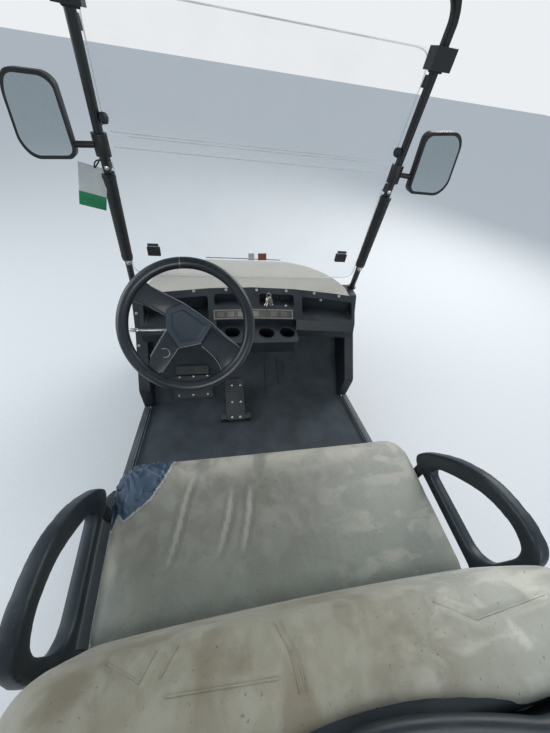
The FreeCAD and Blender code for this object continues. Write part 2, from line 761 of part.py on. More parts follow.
# Footwell sides: mouldings from the dash's ends down to the floor, cut by the wheel arch
wing_points = [
    (d.wing_front, d.wing_top), (d.firewall_y, d.wing_top), (d.firewall_y - 95, d.wing_top - 160),
    (d.floor_front - 24, d.floor_top + 140), (d.floor_front - 18, d.floor_top), (d.floor_front, d.floor_top),
    (d.floor_front, floor_low), (d.wing_front, floor_low),
]
wing_out = d.wing_inner + d.wing_sheet
wings = []
for _name, side in SIDES:
    low, high = (d.wing_inner, wing_out) if side > 0 else (-wing_out, -d.wing_inner)
    wing = plate("YZ_Plane", wing_points, low, high, [(60, [2]), (34, [3]), (14, [1])])
    arch = cylinder((d.wing_inner * side, d.front_axle_y, axle_z), d.arch_radius, d.wing_sheet * 4, "x")
    wings.append(cut(wing, arch))
node("footwell_sides", group(*wings))


def sweep(share):
    """How far the dash's edge comes back at a share of its half width."""
    return d.dash_sweep * (share * share)


# Dash: one moulding whose edge bows forward in the middle, with bins cut into its face
DASH_STATIONS = (-1.0, -0.8, -0.4, 0.0, 0.4, 0.8, 1.0)
dash_half = d.wing_inner


def dash_section(share):
    back = sweep(share)
    x = dash_half * share
    outline = [
        (d.firewall_y - back, d.dash_top), (d.dash_brow - back * 0.6, d.dash_brow_z),
        (d.dash_brow - 30 - back * 0.4, d.tray_top), (d.dash_brow - 30 - back * 0.4, d.tray_top - 40),
        (d.firewall_y - 40, d.firewall_top + 45), (d.firewall_y, d.firewall_top),
        (d.firewall_y + 14, d.firewall_top), (d.firewall_y + 14 - back * 0.2, d.firewall_top + 70),
    ]
    points = [values((x, y, z)) for y, z in outline]
    return Part.makePolygon(points + points[:1])


dash_shape = Part.makeLoft([dash_section(share) for share in DASH_STATIONS], True, True)
dash_block = dash_shape
# Bins: left, right, foot, top, rear face; the two lower ones hold gloves, the upper ones the switches
BINS = [
    (-490, -213, 744, 818, 592), (240, 490, 752, 818, 592),
    (-184, -44, 780, 822, 590), (29, 200, 780, 822, 590),
]


bin_reach = 300  # past the face towards the seat


def bin_solid(left, right, foot, top, back):
    """A bin's hollow, whose rear wall follows the dash's edge."""
    rears = [back - sweep(x / dash_half.value).value for x in (left, right)]
    plan = [(left, rears[0] - bin_reach), (right, rears[1] - bin_reach), (right, rears[1]), (left, rears[0])]
    corners = [Vector(x, y, foot) for x, y in plan + plan[:1]]
    hollow = Part.Face(Part.makePolygon(corners)).extrude(Vector(0, 0, top - foot))
    across = [edge for edge in hollow.Edges if abs(edge.tangentAt(edge.FirstParameter).y) > 0.9]
    return hollow.makeFillet(12, across)


for row in BINS:
    dash_shape = dash_shape.cut(bin_solid(*row))
tray_back = d.dash_brow + 6
tray_foot = d.tray_top - d.tray_height
tray_gap = 0.3
tray_room = Part.makeBox(
    (d.tray_right - d.tray_left).value + 2 * tray_gap, 300, (d.dash_brow_z - tray_foot).value + tray_gap,
    values((d.tray_left - tray_gap, tray_back + tray_gap - 300, tray_foot - tray_gap)),
)
dash_shape = dash_shape.cut(tray_room)
dash_shape = dash_shape.cut(column_way().Shape)
node("dash", made(dash_shape.removeSplitter()))

# Cup tray: a shelf with three wells, set into the dash: place across, distance from its front edge
CUPS = [(-106, 78), (58, 70), (161, 70)]
tray = plate("XY_Plane", [
    (d.tray_left, tray_back), (d.tray_left, d.tray_front),
    (d.tray_right, d.tray_front), (d.tray_right, tray_back),
], tray_foot, d.tray_top, [(26, [1, 2])])
wells = []
for x, y in CUPS:
    wells.append(cylinder((Size.of(x), d.tray_front + y, d.tray_top), d.cup_radius, d.cup_depth * 2, "z"))
node("cup_tray", cut(tray, *wells))

# Front cowl: a hollow nose lofted through level outlines
# Levels: height, half width, where the side starts to curve in, front
COWL_LEVELS = [
    (842, 478, 600, 840), (820, 492, 618, 895), (760, 525, 640, 1000), (640, 552, 660, 1105),
    (500, 560, 680, 1155), (360, 556, 690, 1165), (262, 540, 690, 1150),
]
COWL_BACK = 430


def cowl_outline(height, half, start, front, inset):
    """One level of the nose: straight sides, an arc at each corner and a flat front."""
    half, front = half - inset, front - inset
    span = front - start
    side = [Vector(half, COWL_BACK, height), Vector(half, start, height)]
    bend = Vector(half * 0.76, start + span * 0.74, height)
    nose = Vector(half * 0.42, front, height)

    def twin(point):
        return Vector(-point.x, point.y, point.z)

    edges = [
        Part.makeLine(side[0], side[1]), Part.Arc(side[1], bend, nose).toShape(),
        Part.makeLine(nose, twin(nose)), Part.Arc(twin(nose), twin(bend), twin(side[1])).toShape(),
        Part.makeLine(twin(side[1]), twin(side[0])),
        Part.makeLine(twin(side[0]), side[0]),
    ]
    return Part.Wire(edges)


def cowl_solid(inset, drop):
    stretch = d.nose_y.value / 1165
    levels = [(z, half, start, front * stretch) for z, half, start, front in COWL_LEVELS]
    wires = [cowl_outline(z - (drop if index == 0 else 0), half, start, front, inset)
             for index, (z, half, start, front) in enumerate(levels)]
    if inset:
        foot = levels[-1]
        wires.append(cowl_outline(foot[0] - 40, foot[1], foot[2], foot[3], inset))
    return Part.makeLoft(wires, True, True)


cowl_shape = cowl_solid(0, 0).cut(cowl_solid(d.skin.value, d.skin.value))
cabin_edge = [values((dash_half * share, d.firewall_y - sweep(share), 0)) for share in DASH_STATIONS]
cabin_points = [Vector(-900, 0, 0), Vector(-900, cabin_edge[0].y, 0)] + cabin_edge
cabin_points += [Vector(900, cabin_edge[-1].y, 0), Vector(900, 0, 0)]
cabin = Part.Face(Part.makePolygon(cabin_points + cabin_points[:1])).extrude(Vector(0, 0, 2000))
cowl_shape = cowl_shape.cut(cabin).cut(dash_block)
for _name, side in SIDES:
    notch_x = d.wing_inner.value - 1 if side > 0 else -900
    notch = Part.makeBox(901 - d.wing_inner.value, d.wing_front.value + 1, 799, Vector(notch_x, 0, 0))
    cowl_shape = cowl_shape.cut(notch)
    arch_x = d.chin_half.value if side > 0 else -900
    cowl_shape = cowl_shape.cut(Part.makeCylinder(
        d.arch_radius.value, 900 - d.chin_half.value,
        Vector(arch_x, d.front_axle_y.value, axle_z.value), Vector(1, 0, 0)))
    post_foot = values((d.strut_foot_x * side, d.strut_foot_y, 700))
    post = Part.makeCylinder(d.sleeve_radius.value + 14, 300, post_foot)
    cowl_shape = cowl_shape.cut(post)

# Headlights: round lenses let into the nose
lamp_holes = [Part.makeCylinder(d.lamp_radius.value, 400, values((d.lamp_x * side, d.front_axle_y, d.lamp_z)),
                                Vector(0, 1, 0)) for _name, side in SIDES]
lenses = []
for hole in lamp_holes:
    lens = cowl_shape.common(hole)
    lenses.append(max(lens.Solids, key=lambda solid: solid.Volume))
    cowl_shape = cowl_shape.cut(hole)
cowl_shape = max(cowl_shape.Solids, key=lambda solid: solid.Volume)
node("front_cowl", made(cowl_shape))
lens_gap = 0.3
clear = []
for _name, side in SIDES:
    lens_at = values((d.lamp_x * side, d.front_axle_y, d.lamp_z))
    clear.append(Part.makeCylinder(d.lamp_radius.value - lens_gap, 400, lens_at, Vector(0, 1, 0)))
node("headlights", made(Part.Compound([lens.common(hole).Solids[0] for lens, hole in zip(lenses, clear)])))

# Front bumper: a bar over the chin, on two brackets from the rails
bumper_front = d.nose_y + d.bumper_depth
front_bar = cut(plate("XY_Plane", [
    (d.chin_half, d.nose_y - 40), (d.chin_half, bumper_front - 11), (d.chin_half - 40, bumper_front),
    (-d.chin_half + 40, bumper_front), (-d.chin_half, bumper_front - 11), (-d.chin_half, d.nose_y - 40),
], kick_low - 20, kick_top + 10), made(cowl_solid(0, 0)))

# Rear body: a hollow moulding over the rear wheels
# Levels: height, half width, front, tail inset
BODY_LEVELS = [(255, -19, 0), (430, 0, 0), (520, -14, 8), (556, -34, 22)]


def body_outline(height, half, front, tail, corner):
    """A rounded rectangle, its corners arcs."""
    bow = corner * (1 - math.sqrt(0.5))
    edges = []
    for sx, sy in ((1, 1), (-1, 1), (-1, -1), (1, -1)):
        y = front if sy > 0 else tail
        on_side = Vector(sx * half, y - sy * corner, height)
        on_end = Vector(sx * (half - corner), y, height)
        middle = Vector(sx * (half - bow), y - sy * bow, height)
        first, last = (on_side, on_end) if sx * sy > 0 else (on_end, on_side)
        edges.append((first, middle, last))
    shapes = []
    for index, (first, middle, last) in enumerate(edges):
        shapes.append(Part.Arc(first, middle, last).toShape())
        shapes.append(Part.makeLine(last, edges[(index + 1) % 4][0]))
    return Part.Wire(shapes)


def body_solid(inset):
    wires = []
    for height, step, tail_in in BODY_LEVELS:
        z = d.deck_top.value if height == 556 else d.body_foot.value if height == 255 else height
        z = z - inset if height == 556 else z
        wires.append(body_outline(z, d.body_half.value + step - inset, d.floor_rear.value - inset,
                                  d.tail_y.value + tail_in + inset, 60 - inset))
    if inset:
        wires.insert(0, body_outline(d.body_foot.value - 50, d.body_half.value - 19 - inset,
                                     d.floor_rear.value - inset, d.tail_y.value + inset, 60 - inset))
    return Part.makeLoft(wires, True, True)


lamp_out = Size.of(38)
body_shape = body_solid(0).cut(body_solid(d.skin.value))
pod_front = d.floor_rear - d.pod_ledge
body_shape = body_shape.cut(Part.makeBox(2 * d.pod_half.value, (pod_front - d.pod_rear).value, 40,
                                         values((-d.pod_half, d.pod_rear, d.deck_top - 20))))
bag_front = d.pod_rear - 25
body_shape = body_shape.cut(Part.makeBox(2 * rail_out.value + 2, 60, (floor_low - d.body_foot).value + 40,
                                         values((-rail_out - 1, d.floor_rear - 50, d.body_foot - 40))))
body_shape = body_shape.cut(Part.makeBox(2 * d.bag_half.value, (bag_front - d.tail_y).value + 60, 300,
                                         values((-d.bag_half, d.tail_y - 60, d.bag_floor - 8))))
for _name, side in SIDES:
    arch_x = 360 if side > 0 else -900
    body_shape = body_shape.cut(Part.makeCylinder(
        d.rear_arch.value, 540, Vector(arch_x, d.rear_axle_y.value, axle_z.value), Vector(1, 0, 0)))
    body_shape = body_shape.cut(Part.makeCylinder(
        lamp_out.value + 0.3, 60, values((d.tail_x * side, d.tail_y - 20, d.tail_z)), Vector(0, 1, 0)))
node("rear_body", made(body_shape))

# Bag well: a tub let into the rear deck, open behind
well_sheet = 5
well_low, well_high = d.bag_floor - well_sheet, d.deck_top
well_out = box((-d.bag_half + 0.3, d.tail_y + 40, well_low), (d.bag_half - 0.3, bag_front - 0.3, well_high))
well_in = box((-d.bag_half + well_sheet, d.tail_y - 10, d.bag_floor),
              (d.bag_half - well_sheet, bag_front - well_sheet, well_high + 40))
node("bag_well", cut(well_out, well_in))

# Rear bumper on the rails' ends
bumper_end = d.tail_y - d.bumper_rear
hitch_at = (Size.of(0), d.tail_y - d.bumper_rear / 2, kick_low + d.rail_height / 2)
hitch = cylinder(hitch_at, d.hitch_radius, d.rail_height * 2, "z")
rear_bar = plate("XY_Plane", [
    (d.bag_half, d.tail_y), (d.bag_half, bumper_end + 10), (d.bag_half - 30, bumper_end),
    (-d.bag_half + 30, bumper_end), (-d.bag_half, bumper_end + 10), (-d.bag_half, d.tail_y),
], kick_low, kick_top)
node("bumpers", group(front_bar, cut(rear_bar, hitch)))
tails = []
for _name, side in SIDES:
    tails.append(cylinder((d.tail_x * side, d.tail_y + 4, d.tail_z), lamp_out, 24, "y"))
node("tail_lights", group(*tails))

# Batteries: one plain block on the rails
battery_front = d.floor_rear - 20
node("battery_bank", box((-d.battery_half, battery_front - d.battery_depth, rail_top),
                         (d.battery_half, battery_front, rail_top + d.battery_height)))

# Seat: a cushion on its board, hinged to a bar across the pod
board_low = d.deck_top + d.rest_gap
board_top = board_low + d.board_sheet
seat_points = [(d.seat_half, d.seat_front), (-d.seat_half, d.seat_front), (-d.seat_half, d.seat_rear),
               (d.seat_half, d.seat_rear)]
seat_rounds = [(d.seat_round, [0, 1]), (30, [2, 3])]
node("seat_cushion", plate("XY_Plane", seat_points, board_top, d.seat_top, seat_rounds))
board_in = 14
board_half = d.seat_half - board_in
board_points = [
    (board_half, d.seat_front - board_in), (-board_half, d.seat_front - board_in),
    (-board_half, d.seat_rear + board_in), (board_half, d.seat_rear + board_in),
]
board = plate("XY_Plane", board_points, board_low, board_top, [(d.seat_round - board_in, [0, 1])])
hinge_z = board_low - 8
HINGES = (-300, 300)
hinge_leaf = 40
hinge_parts = []
for x in HINGES:
    hinge_parts.append(cylinder((Size.of(x), d.seat_hinge_y, hinge_z), d.hinge_pin, hinge_leaf, "x"))
    hinge_parts.append(box((Size.of(x - hinge_leaf / 2), d.seat_hinge_y - d.hinge_pin, hinge_z),
                           (Size.of(x + hinge_leaf / 2), d.seat_hinge_y + d.hinge_pin, board_low)))
node("seat_board", fuse(board, *hinge_parts))
bar_high, bar_low = hinge_z - d.hinge_pin - d.rest_gap, hinge_z - 30
bar_rear, bar_front = d.seat_hinge_y - 7, d.seat_hinge_y + 20
# The seat hinge's bar lies across the pod, and counts with the frame's cross members
hinge_bar = [box((-d.pod_half - 24, bar_rear, bar_low), (d.pod_half + 24, bar_front, bar_high))]
for _name, side in SIDES:
    ends = (d.pod_half + 3, d.pod_half + 24) if side > 0 else (-d.pod_half - 24, -d.pod_half - 3)
    hinge_bar.append(box((ends[0], bar_rear, bar_low), (ends[1], bar_front, d.deck_top - d.skin)))
node("cross_members", group(*members, fuse(*hinge_bar)))

# Backrest: a leaning cushion with a moulded shell behind it
back_top_y = d.back_foot_y - d.back_lean
back_points = [
    (d.back_foot_y, d.back_foot), (back_top_y, d.back_head), (back_top_y - d.back_thick, d.back_head),
    (d.back_foot_y - d.back_thick, d.back_foot),
]
node("backrest_cushion", plate("YZ_Plane", back_points, -d.back_half, d.back_half, [(30, [0, 1])]))
back_slope = d.back_lean / (d.back_head - d.back_foot)


def back_face(z, depth):
    """The backrest's leaning plane at a height, a depth behind its front face."""
    return d.back_foot_y - back_slope * (Size.of(z) - d.back_foot) - depth


shell_near = d.back_thick + d.rest_gap
shell_far = shell_near + d.shell_thick
shell_low, shell_high = d.back_foot + 10, d.back_head + 8
shell_points = [
    (back_face(shell_low, shell_near), shell_low), (back_face(shell_high, shell_near), shell_high),
    (back_face(shell_high, shell_far), shell_high), (back_face(shell_low, shell_far), shell_low),
]
node("backrest_shell", plate("YZ_Plane", shell_points, -d.back_half + 12, d.back_half - 12, [(20, [2, 3])]))


def smooth_loop(points, x, radius):
    """A closed loop of straight runs and arcs in an upright plane."""
    corners = [Vector(x, y, z) for y, z in points]
    count = len(corners)
    tangents = []
    for index, corner in enumerate(corners):
        before, after = corners[index - 1], corners[(index + 1) % count]
        a, b = (before - corner), (after - corner)
        reach = min(radius, 0.48 * a.Length, 0.48 * b.Length)
        a.normalize()
        b.normalize()
        first, last = corner + a * reach, corner + b * reach
        half = a.getAngle(b) / 2
        middle_dir = a + b
        middle_dir.normalize()
        round_radius = reach * math.tan(half)
        middle = corner + middle_dir * (reach / math.cos(half) - round_radius)
        tangents.append((first, middle, last))
    shapes = []
    for index, (first, middle, last) in enumerate(tangents):
        shapes.append(Part.Arc(first, middle, last).toShape())
        shapes.append(Part.makeLine(last, tangents[(index + 1) % count][0]))
    return Part.Wire(shapes)


# Hip restraints: (forward, up) from the loop's rear lower corner, outside and inside
LOOP_OUTSIDE = [(0, 0), (0, 200), (28, 274), (110, 284), (215, 262), (315, 180), (390, 70), (410, 0)]
LOOP_INSIDE = [(44, 44), (40, 190), (58, 228), (112, 236), (185, 214), (270, 142), (318, 84), (326, 44)]
loop_rear, loop_foot = -640, 650
LOOP_FEET = (loop_rear + 30, loop_rear + 360)
loops = []
for _name, side in SIDES:
    x = (d.loop_x * side - d.loop_thick / 2).value
    rings = [smooth_loop([(loop_rear + y, loop_foot + z) for y, z in points], x, 60)
             for points in (LOOP_OUTSIDE, LOOP_INSIDE)]
    ring = Part.Face(rings[0]).cut(Part.Face(rings[1])).Faces[0].extrude(Vector(d.loop_thick.value, 0, 0))
    feet = []
    for foot_y in LOOP_FEET:
        feet.append(Part.makeBox(22, 40, loop_foot + 10 - d.deck_top.value,
                                 Vector((d.loop_x * side).value - 11, foot_y - 20, d.deck_top.value)))
    loops.append(ring.fuse(feet).removeSplitter())
node("hip_restraints", made(Part.Compound(loops)))

# Front struts: a foot, a thick sleeve, the tube, and the bend in under the roof
strut_foot = (d.strut_foot_x, d.strut_foot_y, d.wing_top)
strut_head = (d.strut_head_x, d.strut_head_y, d.strut_head_z)


def along(start, end, z):
    """The point at a height on the line between two points."""
    share = (Size.of(z) - start[2]) / (Size.of(end[2]) - start[2])
    return (Size.of(start[0]) + (end[0] - Size.of(start[0])) * share,
            Size.of(start[1]) + (end[1] - Size.of(start[1])) * share, Size.of(z))


def bent_tube(points, radius, bend):
    """A round bar along straight runs joined by tangent arcs."""
    edges = []
    corners = [values(point) for point in points]
    start = corners[0]
    for index in range(1, len(corners) - 1):
        a = corners[index - 1] - corners[index]
        b = corners[index + 1] - corners[index]
        a.normalize()
        b.normalize()
        half = a.getAngle(b) / 2
        reach = bend / math.tan(half)
        middle_dir = a + b
        middle_dir.normalize()
        first, last = corners[index] + a * reach, corners[index] + b * reach
        middle = corners[index] + middle_dir * (reach / math.cos(half) - bend)
        edges.append(Part.makeLine(start, first))
        edges.append(Part.Arc(first, middle, last).toShape())
        start = last
    edges.append(Part.makeLine(start, corners[-1]))
    path = Part.Wire(edges)
    ring = Part.Wire(Part.makeCircle(radius, corners[0], corners[1] - corners[0]))
    return path.makePipeShell([ring], True, False)


def front_strut(side):
    foot, head = mirrored(side, strut_foot), mirrored(side, strut_head)
    bend = (head[0] - 6 * side, head[1] - 14, d.roof_under - 14 - d.strut_radius)
    inner = (Size.of(300 * side), bend[1], d.roof_under - d.strut_radius)
    foot = along(foot, head, d.wing_top + 3)
    tube = bent_tube([foot, head, bend, inner], d.strut_radius.value, 75)
    low, high = along(foot, head, 940), along(foot, head, 1280)
    sleeve = Part.makeCylinder(d.sleeve_radius.value, (values(high) - values(low)).Length, values(low),
                               values(high) - values(low))
    block = Part.makeBox(66, 46, 50, values(head) + Vector(-33, -28, -52))
    flange = Part.makeCylinder(d.sleeve_radius.value, 8, values((foot[0], foot[1], d.wing_top)))
    return tube.fuse([sleeve, block, flange]).removeSplitter()


node("front_struts", made(Part.Compound([front_strut(side) for _name, side in SIDES])))


def rear_strut(side):
    foot = (d.rear_strut_x * side, d.rear_strut_y, d.deck_top)
    bend = (Size.of(500 * side), d.rear_strut_y - 20, d.roof_under - d.strut_radius)
    inner = (Size.of(300 * side), bend[1], d.roof_under - d.strut_radius)
    tube = bent_tube([(foot[0], foot[1], foot[2] + 2), bend, inner], d.strut_radius.value, 75)
    flange = Part.makeCylinder(24, 6, values(foot))
    return tube.fuse(flange).removeSplitter()


def on_rear_strut(side, z):
    """A point of the rear strut's line at a height."""
    return along((d.rear_strut_x * side, d.rear_strut_y, d.deck_top),
                 (Size.of(500 * side), d.rear_strut_y - 20, d.roof_under - d.strut_radius), z)


# Brackets from the rear struts to the backrest's shell: heights
BRACKET_ROWS = (790, 985)
brackets = []
for _name, side in SIDES:
    for z in BRACKET_ROWS:
        x, y, _z = on_rear_strut(side, z)
        edge = (d.back_half - 12) * side
        low, high = (edge, x) if side > 0 else (x, edge)
        corner = values((low, y - 24, Size.of(z - 15)))
        brackets.append(Part.makeBox((high - low).value, 24, 30, corner))
rear_legs = []
for index, (_name, side) in enumerate(SIDES):
    rear_legs.append(rear_strut(side).fuse(brackets[2 * index:2 * index + 2]).removeSplitter())
node("rear_struts", made(Part.Compound(rear_legs)))

# Roof: a crowned moulding with rounded corners, hollow underneath
roof_rim = d.roof_under - 26


def roof_solid(inset, height):
    """The crowned block: a rounded outline, cut by a wide arch across the cart."""
    outline = body_outline(roof_rim.value - (0 if not inset else 10), d.roof_half.value - inset,
                           d.roof_front.value - inset, d.roof_rear.value + inset, 130 - inset)
    block = Part.Face(outline).extrude(Vector(0, 0, height + 40))
    half = d.roof_half.value + 20
    crown, shoulder = roof_rim.value + height, roof_rim.value + height * 0.62
    left, right = Vector(-half, -2000, shoulder), Vector(half, -2000, shoulder)
    arc = Part.Arc(left, Vector(0, -2000, crown), right).toShape()
    sides = Part.makePolygon([right, Vector(half, -2000, 1000), Vector(-half, -2000, 1000), left])
    arch = Part.Face(Part.Wire([arc] + sides.Edges)).extrude(Vector(0, 4000, 0))
    return block.common(arch)


roof_block = roof_solid(0, d.roof_height.value)
roof_shape = roof_block.cut(roof_solid(d.roof_skin.value, d.roof_height.value - d.roof_skin.value))
# Ribs under the roof, each with a groove for the struts' level ends
tube_z = (d.roof_under - d.strut_radius).value
rib_half, rib_width, rib_reach, groove_gap = 430, 44, 90, 0.2
for tube_y in (d.strut_head_y.value - 14, d.rear_strut_y.value - 20):
    rib = Part.makeBox(2 * rib_half, rib_width, rib_reach, Vector(-rib_half, tube_y - rib_width / 2, tube_z))
    rib = rib.common(roof_block)
    groove = Part.makeCylinder(d.strut_radius.value + groove_gap, 1000, Vector(-500, tube_y, tube_z),
                               Vector(1, 0, 0))
    roof_shape = roof_shape.fuse(rib.cut(groove))
node("roof", made(roof_shape.removeSplitter()))

# Windshield: two clear panels ahead of the struts, with a fold strip between them
lean = (d.strut_foot_y - d.strut_head_y) / (d.strut_head_z - d.wing_top)
screen_gap = d.sleeve_radius + 2


def screen_y(z):
    """The windshield's rear face at a height."""
    return d.strut_foot_y - lean * (Size.of(z) - d.wing_top) + screen_gap


def screen_panel(points, radius, thick):
    """A panel of (x, z) corners in the windshield's plane."""
    corners = [values((x, screen_y(z), z)) for x, z in points]
    flat = [Vector(0, corner.x, corner.z) for corner in corners]
    wire = smooth_loop([(point.y, point.z) for point in flat], 0, radius)
    face = Part.Face(wire)
    slab = face.extrude(Vector(thick, 0, 0))
    slab.rotate(Vector(0, 0, 0), Vector(0, 0, 1), 90)
    shear = FreeCAD.Matrix()
    shear.A11 = -1
    shear.A23 = -lean.value
    shear.A24 = screen_y(0).value
    moved = slab.transformGeometry(shear)
    return moved


SCREENS = [
    [(-545, d.screen_foot), (545, d.screen_foot), (505, d.screen_split - 12), (-505, d.screen_split - 12)],
    [(-503, d.screen_split + 12), (503, d.screen_split + 12), (486, d.screen_head), (-486, d.screen_head)],
]
panels = [screen_panel(points, 40, d.screen_sheet.value) for points in SCREENS]
strip_half, strip_rise = 492, 11.7
strip_low, strip_high = d.screen_split - strip_rise, d.screen_split + strip_rise
strip = screen_panel([(-strip_half, strip_low), (strip_half, strip_low), (strip_half, strip_high),
                      (-strip_half, strip_high)], 2, d.screen_sheet.value + 3)
node("windshield", made(Part.Compound(panels + [strip])))
clips = []
clip_half, clip_low, clip_high, clip_depth, clip_place = 26, 957, 993, 16, 0.78
for _name, side in SIDES:
    clip_x = d.strut_foot_x * side * clip_place
    clips.append(box((clip_x - clip_half, screen_y(clip_high) - clip_depth, Size.of(clip_low)),
                     (clip_x + clip_half, screen_y(clip_high) - 0.3, Size.of(clip_high))))
# Saddles between the struts and the screen: height, radius of what they sit on
tall, saddle_half = 15, 13
SADDLES = [(960, d.sleeve_radius), (1305, d.strut_radius), (1425, d.strut_radius), (1618, d.strut_radius)]
for _name, side in SIDES:
    line = (mirrored(side, strut_foot), mirrored(side, strut_head))
    for z, radius in SADDLES:
        middle = along(line[0], line[1], z)
        outline = [(middle[1], Size.of(z - tall)), (screen_y(z - tall), Size.of(z - tall)),
                   (screen_y(z + tall), Size.of(z + tall)), (middle[1], Size.of(z + tall))]
        saddle = plate("YZ_Plane", outline, middle[0] - saddle_half, middle[0] + saddle_half)
        seat_of = rod(along(line[0], line[1], z - 60), along(line[0], line[1], z + 60), radius + 0.3)
        clips.append(cut(saddle, seat_of))
node("windshield_clips", group(*clips))

# Steering wheel: rim, three spokes and a padded hub, on a sloping column
tilt = FreeCAD.Rotation(Vector(1, 0, 0), d.wheel_tilt.value)
turn = FreeCAD.Rotation(Vector(0, 0, 1), d.wheel_turn.value)
rim_centre = d.wheel_radius - d.grip_radius
grip = Part.makeTorus(rim_centre.value, d.grip_radius.value)
# Spokes: direction in degrees, width at the hub, width at the rim
SPOKES = [(180, 62, 44), (0, 62, 44), (270, 40, 30)]
spokes = []
for angle, wide, narrow in SPOKES:
    points = [Vector(30, -wide / 2, -24), Vector(rim_centre.value, -narrow / 2, -6),
              Vector(rim_centre.value, narrow / 2, -6), Vector(30, wide / 2, -24)]
    spoke = Part.Face(Part.makePolygon(points + points[:1])).extrude(Vector(0, 0, 13))
    spoke.rotate(Vector(), Vector(0, 0, 1), angle)
    spokes.append(spoke)
hub_points = [Vector(58 * math.cos(math.radians(a)), 50 * math.sin(math.radians(a)), -30)
              for a in (0, 60, 120, 180, 240, 300)]
pad = Part.Face(Part.makePolygon(hub_points + hub_points[:1])).extrude(Vector(0, 0, 34))
pad = pad.makeFillet(7, [edge for edge in pad.Edges if edge.BoundBox.ZMin > 0])
neck = Part.makeCylinder(20, 40, Vector(0, 0, -62.7))
wheel_shape = grip.fuse(spokes + [pad, neck]).removeSplitter()
steering = made(wheel_shape)
steering.Placement = FreeCAD.Placement(hub, tilt.multiply(turn))
node("steering_wheel", steering)


column = Part.makeCylinder(d.column_radius.value, d.column_length.value - 63, on_column(63), column_axis)
gear_box = Part.makeCylinder(42, 64, on_column(d.column_length.value), column_axis)
boot = Part.makeCylinder(44, 24, on_column(790), column_axis).cut(toe_board.Shape).cut(dash_block)
boot = max(boot.Solids, key=lambda solid: solid.CenterOfMass.z)
node("steering_column", made(column.fuse([gear_box, boot]).removeSplitter()))

# Pedals lie along the toe board
toe_rise, toe_run = (d.firewall_top - d.floor_top).value, (d.firewall_y - d.floor_front).value
toe_angle = math.degrees(math.atan2(toe_rise, toe_run))
# Pedals: name, left, right, hinge line along the cart, slope, then start, length and lift along the slope
PEDALS = [
    ("brake", -410, -210, d.floor_front, toe_angle, 20, 118, 16),
    ("parking_brake", -392, -228, d.floor_front, toe_angle, 146, 44, 22),
    ("accelerator", -144, -50, d.floor_front - 138, 25, 0, 215, 14),
]
pedals = {}
for name, left, right, hinge_y, slope, start, length, lift in PEDALS:
    slab = Part.makeBox(right - left, length, 8, Vector(left, start, lift))
    corners = [edge for edge in slab.Edges if abs(edge.tangentAt(edge.FirstParameter).z) > 0.9]
    slab = slab.makeFillet(7, corners)
    post_x = (left + right) / 2
    post = Part.makeBox(26, 40, lift + 1, Vector(post_x - 13, start + length / 2 - 20, 0))
    pedals[name] = made(slab.fuse(post).removeSplitter())
    leaning = FreeCAD.Rotation(Vector(1, 0, 0), slope)
    pedals[name].Placement = FreeCAD.Placement(values((0, hinge_y, d.floor_top)), leaning)
node("brake_pedals", group(pedals["brake"], pedals["parking_brake"]))
hinge_rear, hinge_front = d.floor_front - 145, d.floor_front - 112
hinge_width, hinge_height = 27.7, 26
hinge_ends = []
for left in (-172, -49.7):
    hinge_ends.append(box((Size.of(left), hinge_rear, d.floor_top),
                          (Size.of(left + hinge_width), hinge_front, d.floor_top + hinge_height)))
node("accelerator", group(pedals["accelerator"], *hinge_ends))

# Mirrors: frames on short arms from the struts, and their glass
MIRROR_OUTLINES = {
    "left": [
        (-584, 1325), (-706, 1315), (-732, 1352), (-722, 1477), (-702, 1518), (-609, 1519), (-586, 1502),
    ],
    "right": [(573, 1309), (706, 1309), (733.7, 1347), (711, 1482), (680, 1511), (558, 1499)],
}
frames, glasses = [], []
for name, side in SIDES:
    points = MIRROR_OUTLINES[name]
    wire = smooth_loop([(z, x) for x, z in points], 0, 24)
    flat = Part.Face(smooth_loop(points, 0, 24))
    slab = flat.extrude(Vector(d.mirror_thick.value, 0, 0))
    slab.rotate(Vector(), Vector(0, 0, 1), 90)
    slab = slab.mirror(Vector(), Vector(1, 0, 0))
    slab.translate(Vector(0, d.mirror_y.value, 0))
    middle = slab.CenterOfMass
    inner = slab.copy()
    pane = Part.Face(smooth_loop([(middle.x + (x - middle.x) * 0.9, middle.z + (z - middle.z) * 0.9)
                                  for x, z in points], 0, 22)).extrude(Vector(d.mirror_glass.value, 0, 0))
    pane.rotate(Vector(), Vector(0, 0, 1), 90)
    pane = pane.mirror(Vector(), Vector(1, 0, 0))
    pane.translate(Vector(0, d.mirror_y.value, 0))
    strut_at = along(mirrored(side, strut_foot), mirrored(side, strut_head), 1360)
    end = values(strut_at)
    arm_start = Vector(side * 590, d.mirror_y.value + 16, 1360)
    arm = Part.makeCylinder(9, (end - arm_start).Length, arm_start, end - arm_start)
    clamp = Part.makeCylinder(d.strut_radius.value + 9, 60, end - Vector(0, 0, 30))
    foot_at, head_at = mirrored(side, strut_foot), mirrored(side, strut_head)
    hole = Part.makeCylinder(d.strut_radius.value + 0.3, 200, values(along(foot_at, head_at, 1260)),
                             values(head_at) - values(foot_at))
    frames.append(slab.fuse([arm, clamp]).cut(pane).cut(hole).removeSplitter())
    glasses.append(pane)
node("mirror_frames", made(Part.Compound(frames)))
node("mirror_glasses", made(Part.Compound(glasses)))

# Basket behind the backrest, and the bag rack's tube round it
basket_front = back_face(shell_high, shell_far) - 12
basket_rear = basket_front - d.basket_depth
basket_low = d.basket_top - d.basket_height
sheet_b = 6
outer = box((-d.basket_half, basket_rear, basket_low), (d.basket_half, basket_front, d.basket_top))
hollow = box((-d.basket_half + sheet_b, basket_rear + sheet_b, basket_low + sheet_b),
             (d.basket_half - sheet_b, basket_front - sheet_b, d.basket_top + 50))
rack_parts = [cut(outer, hollow)]
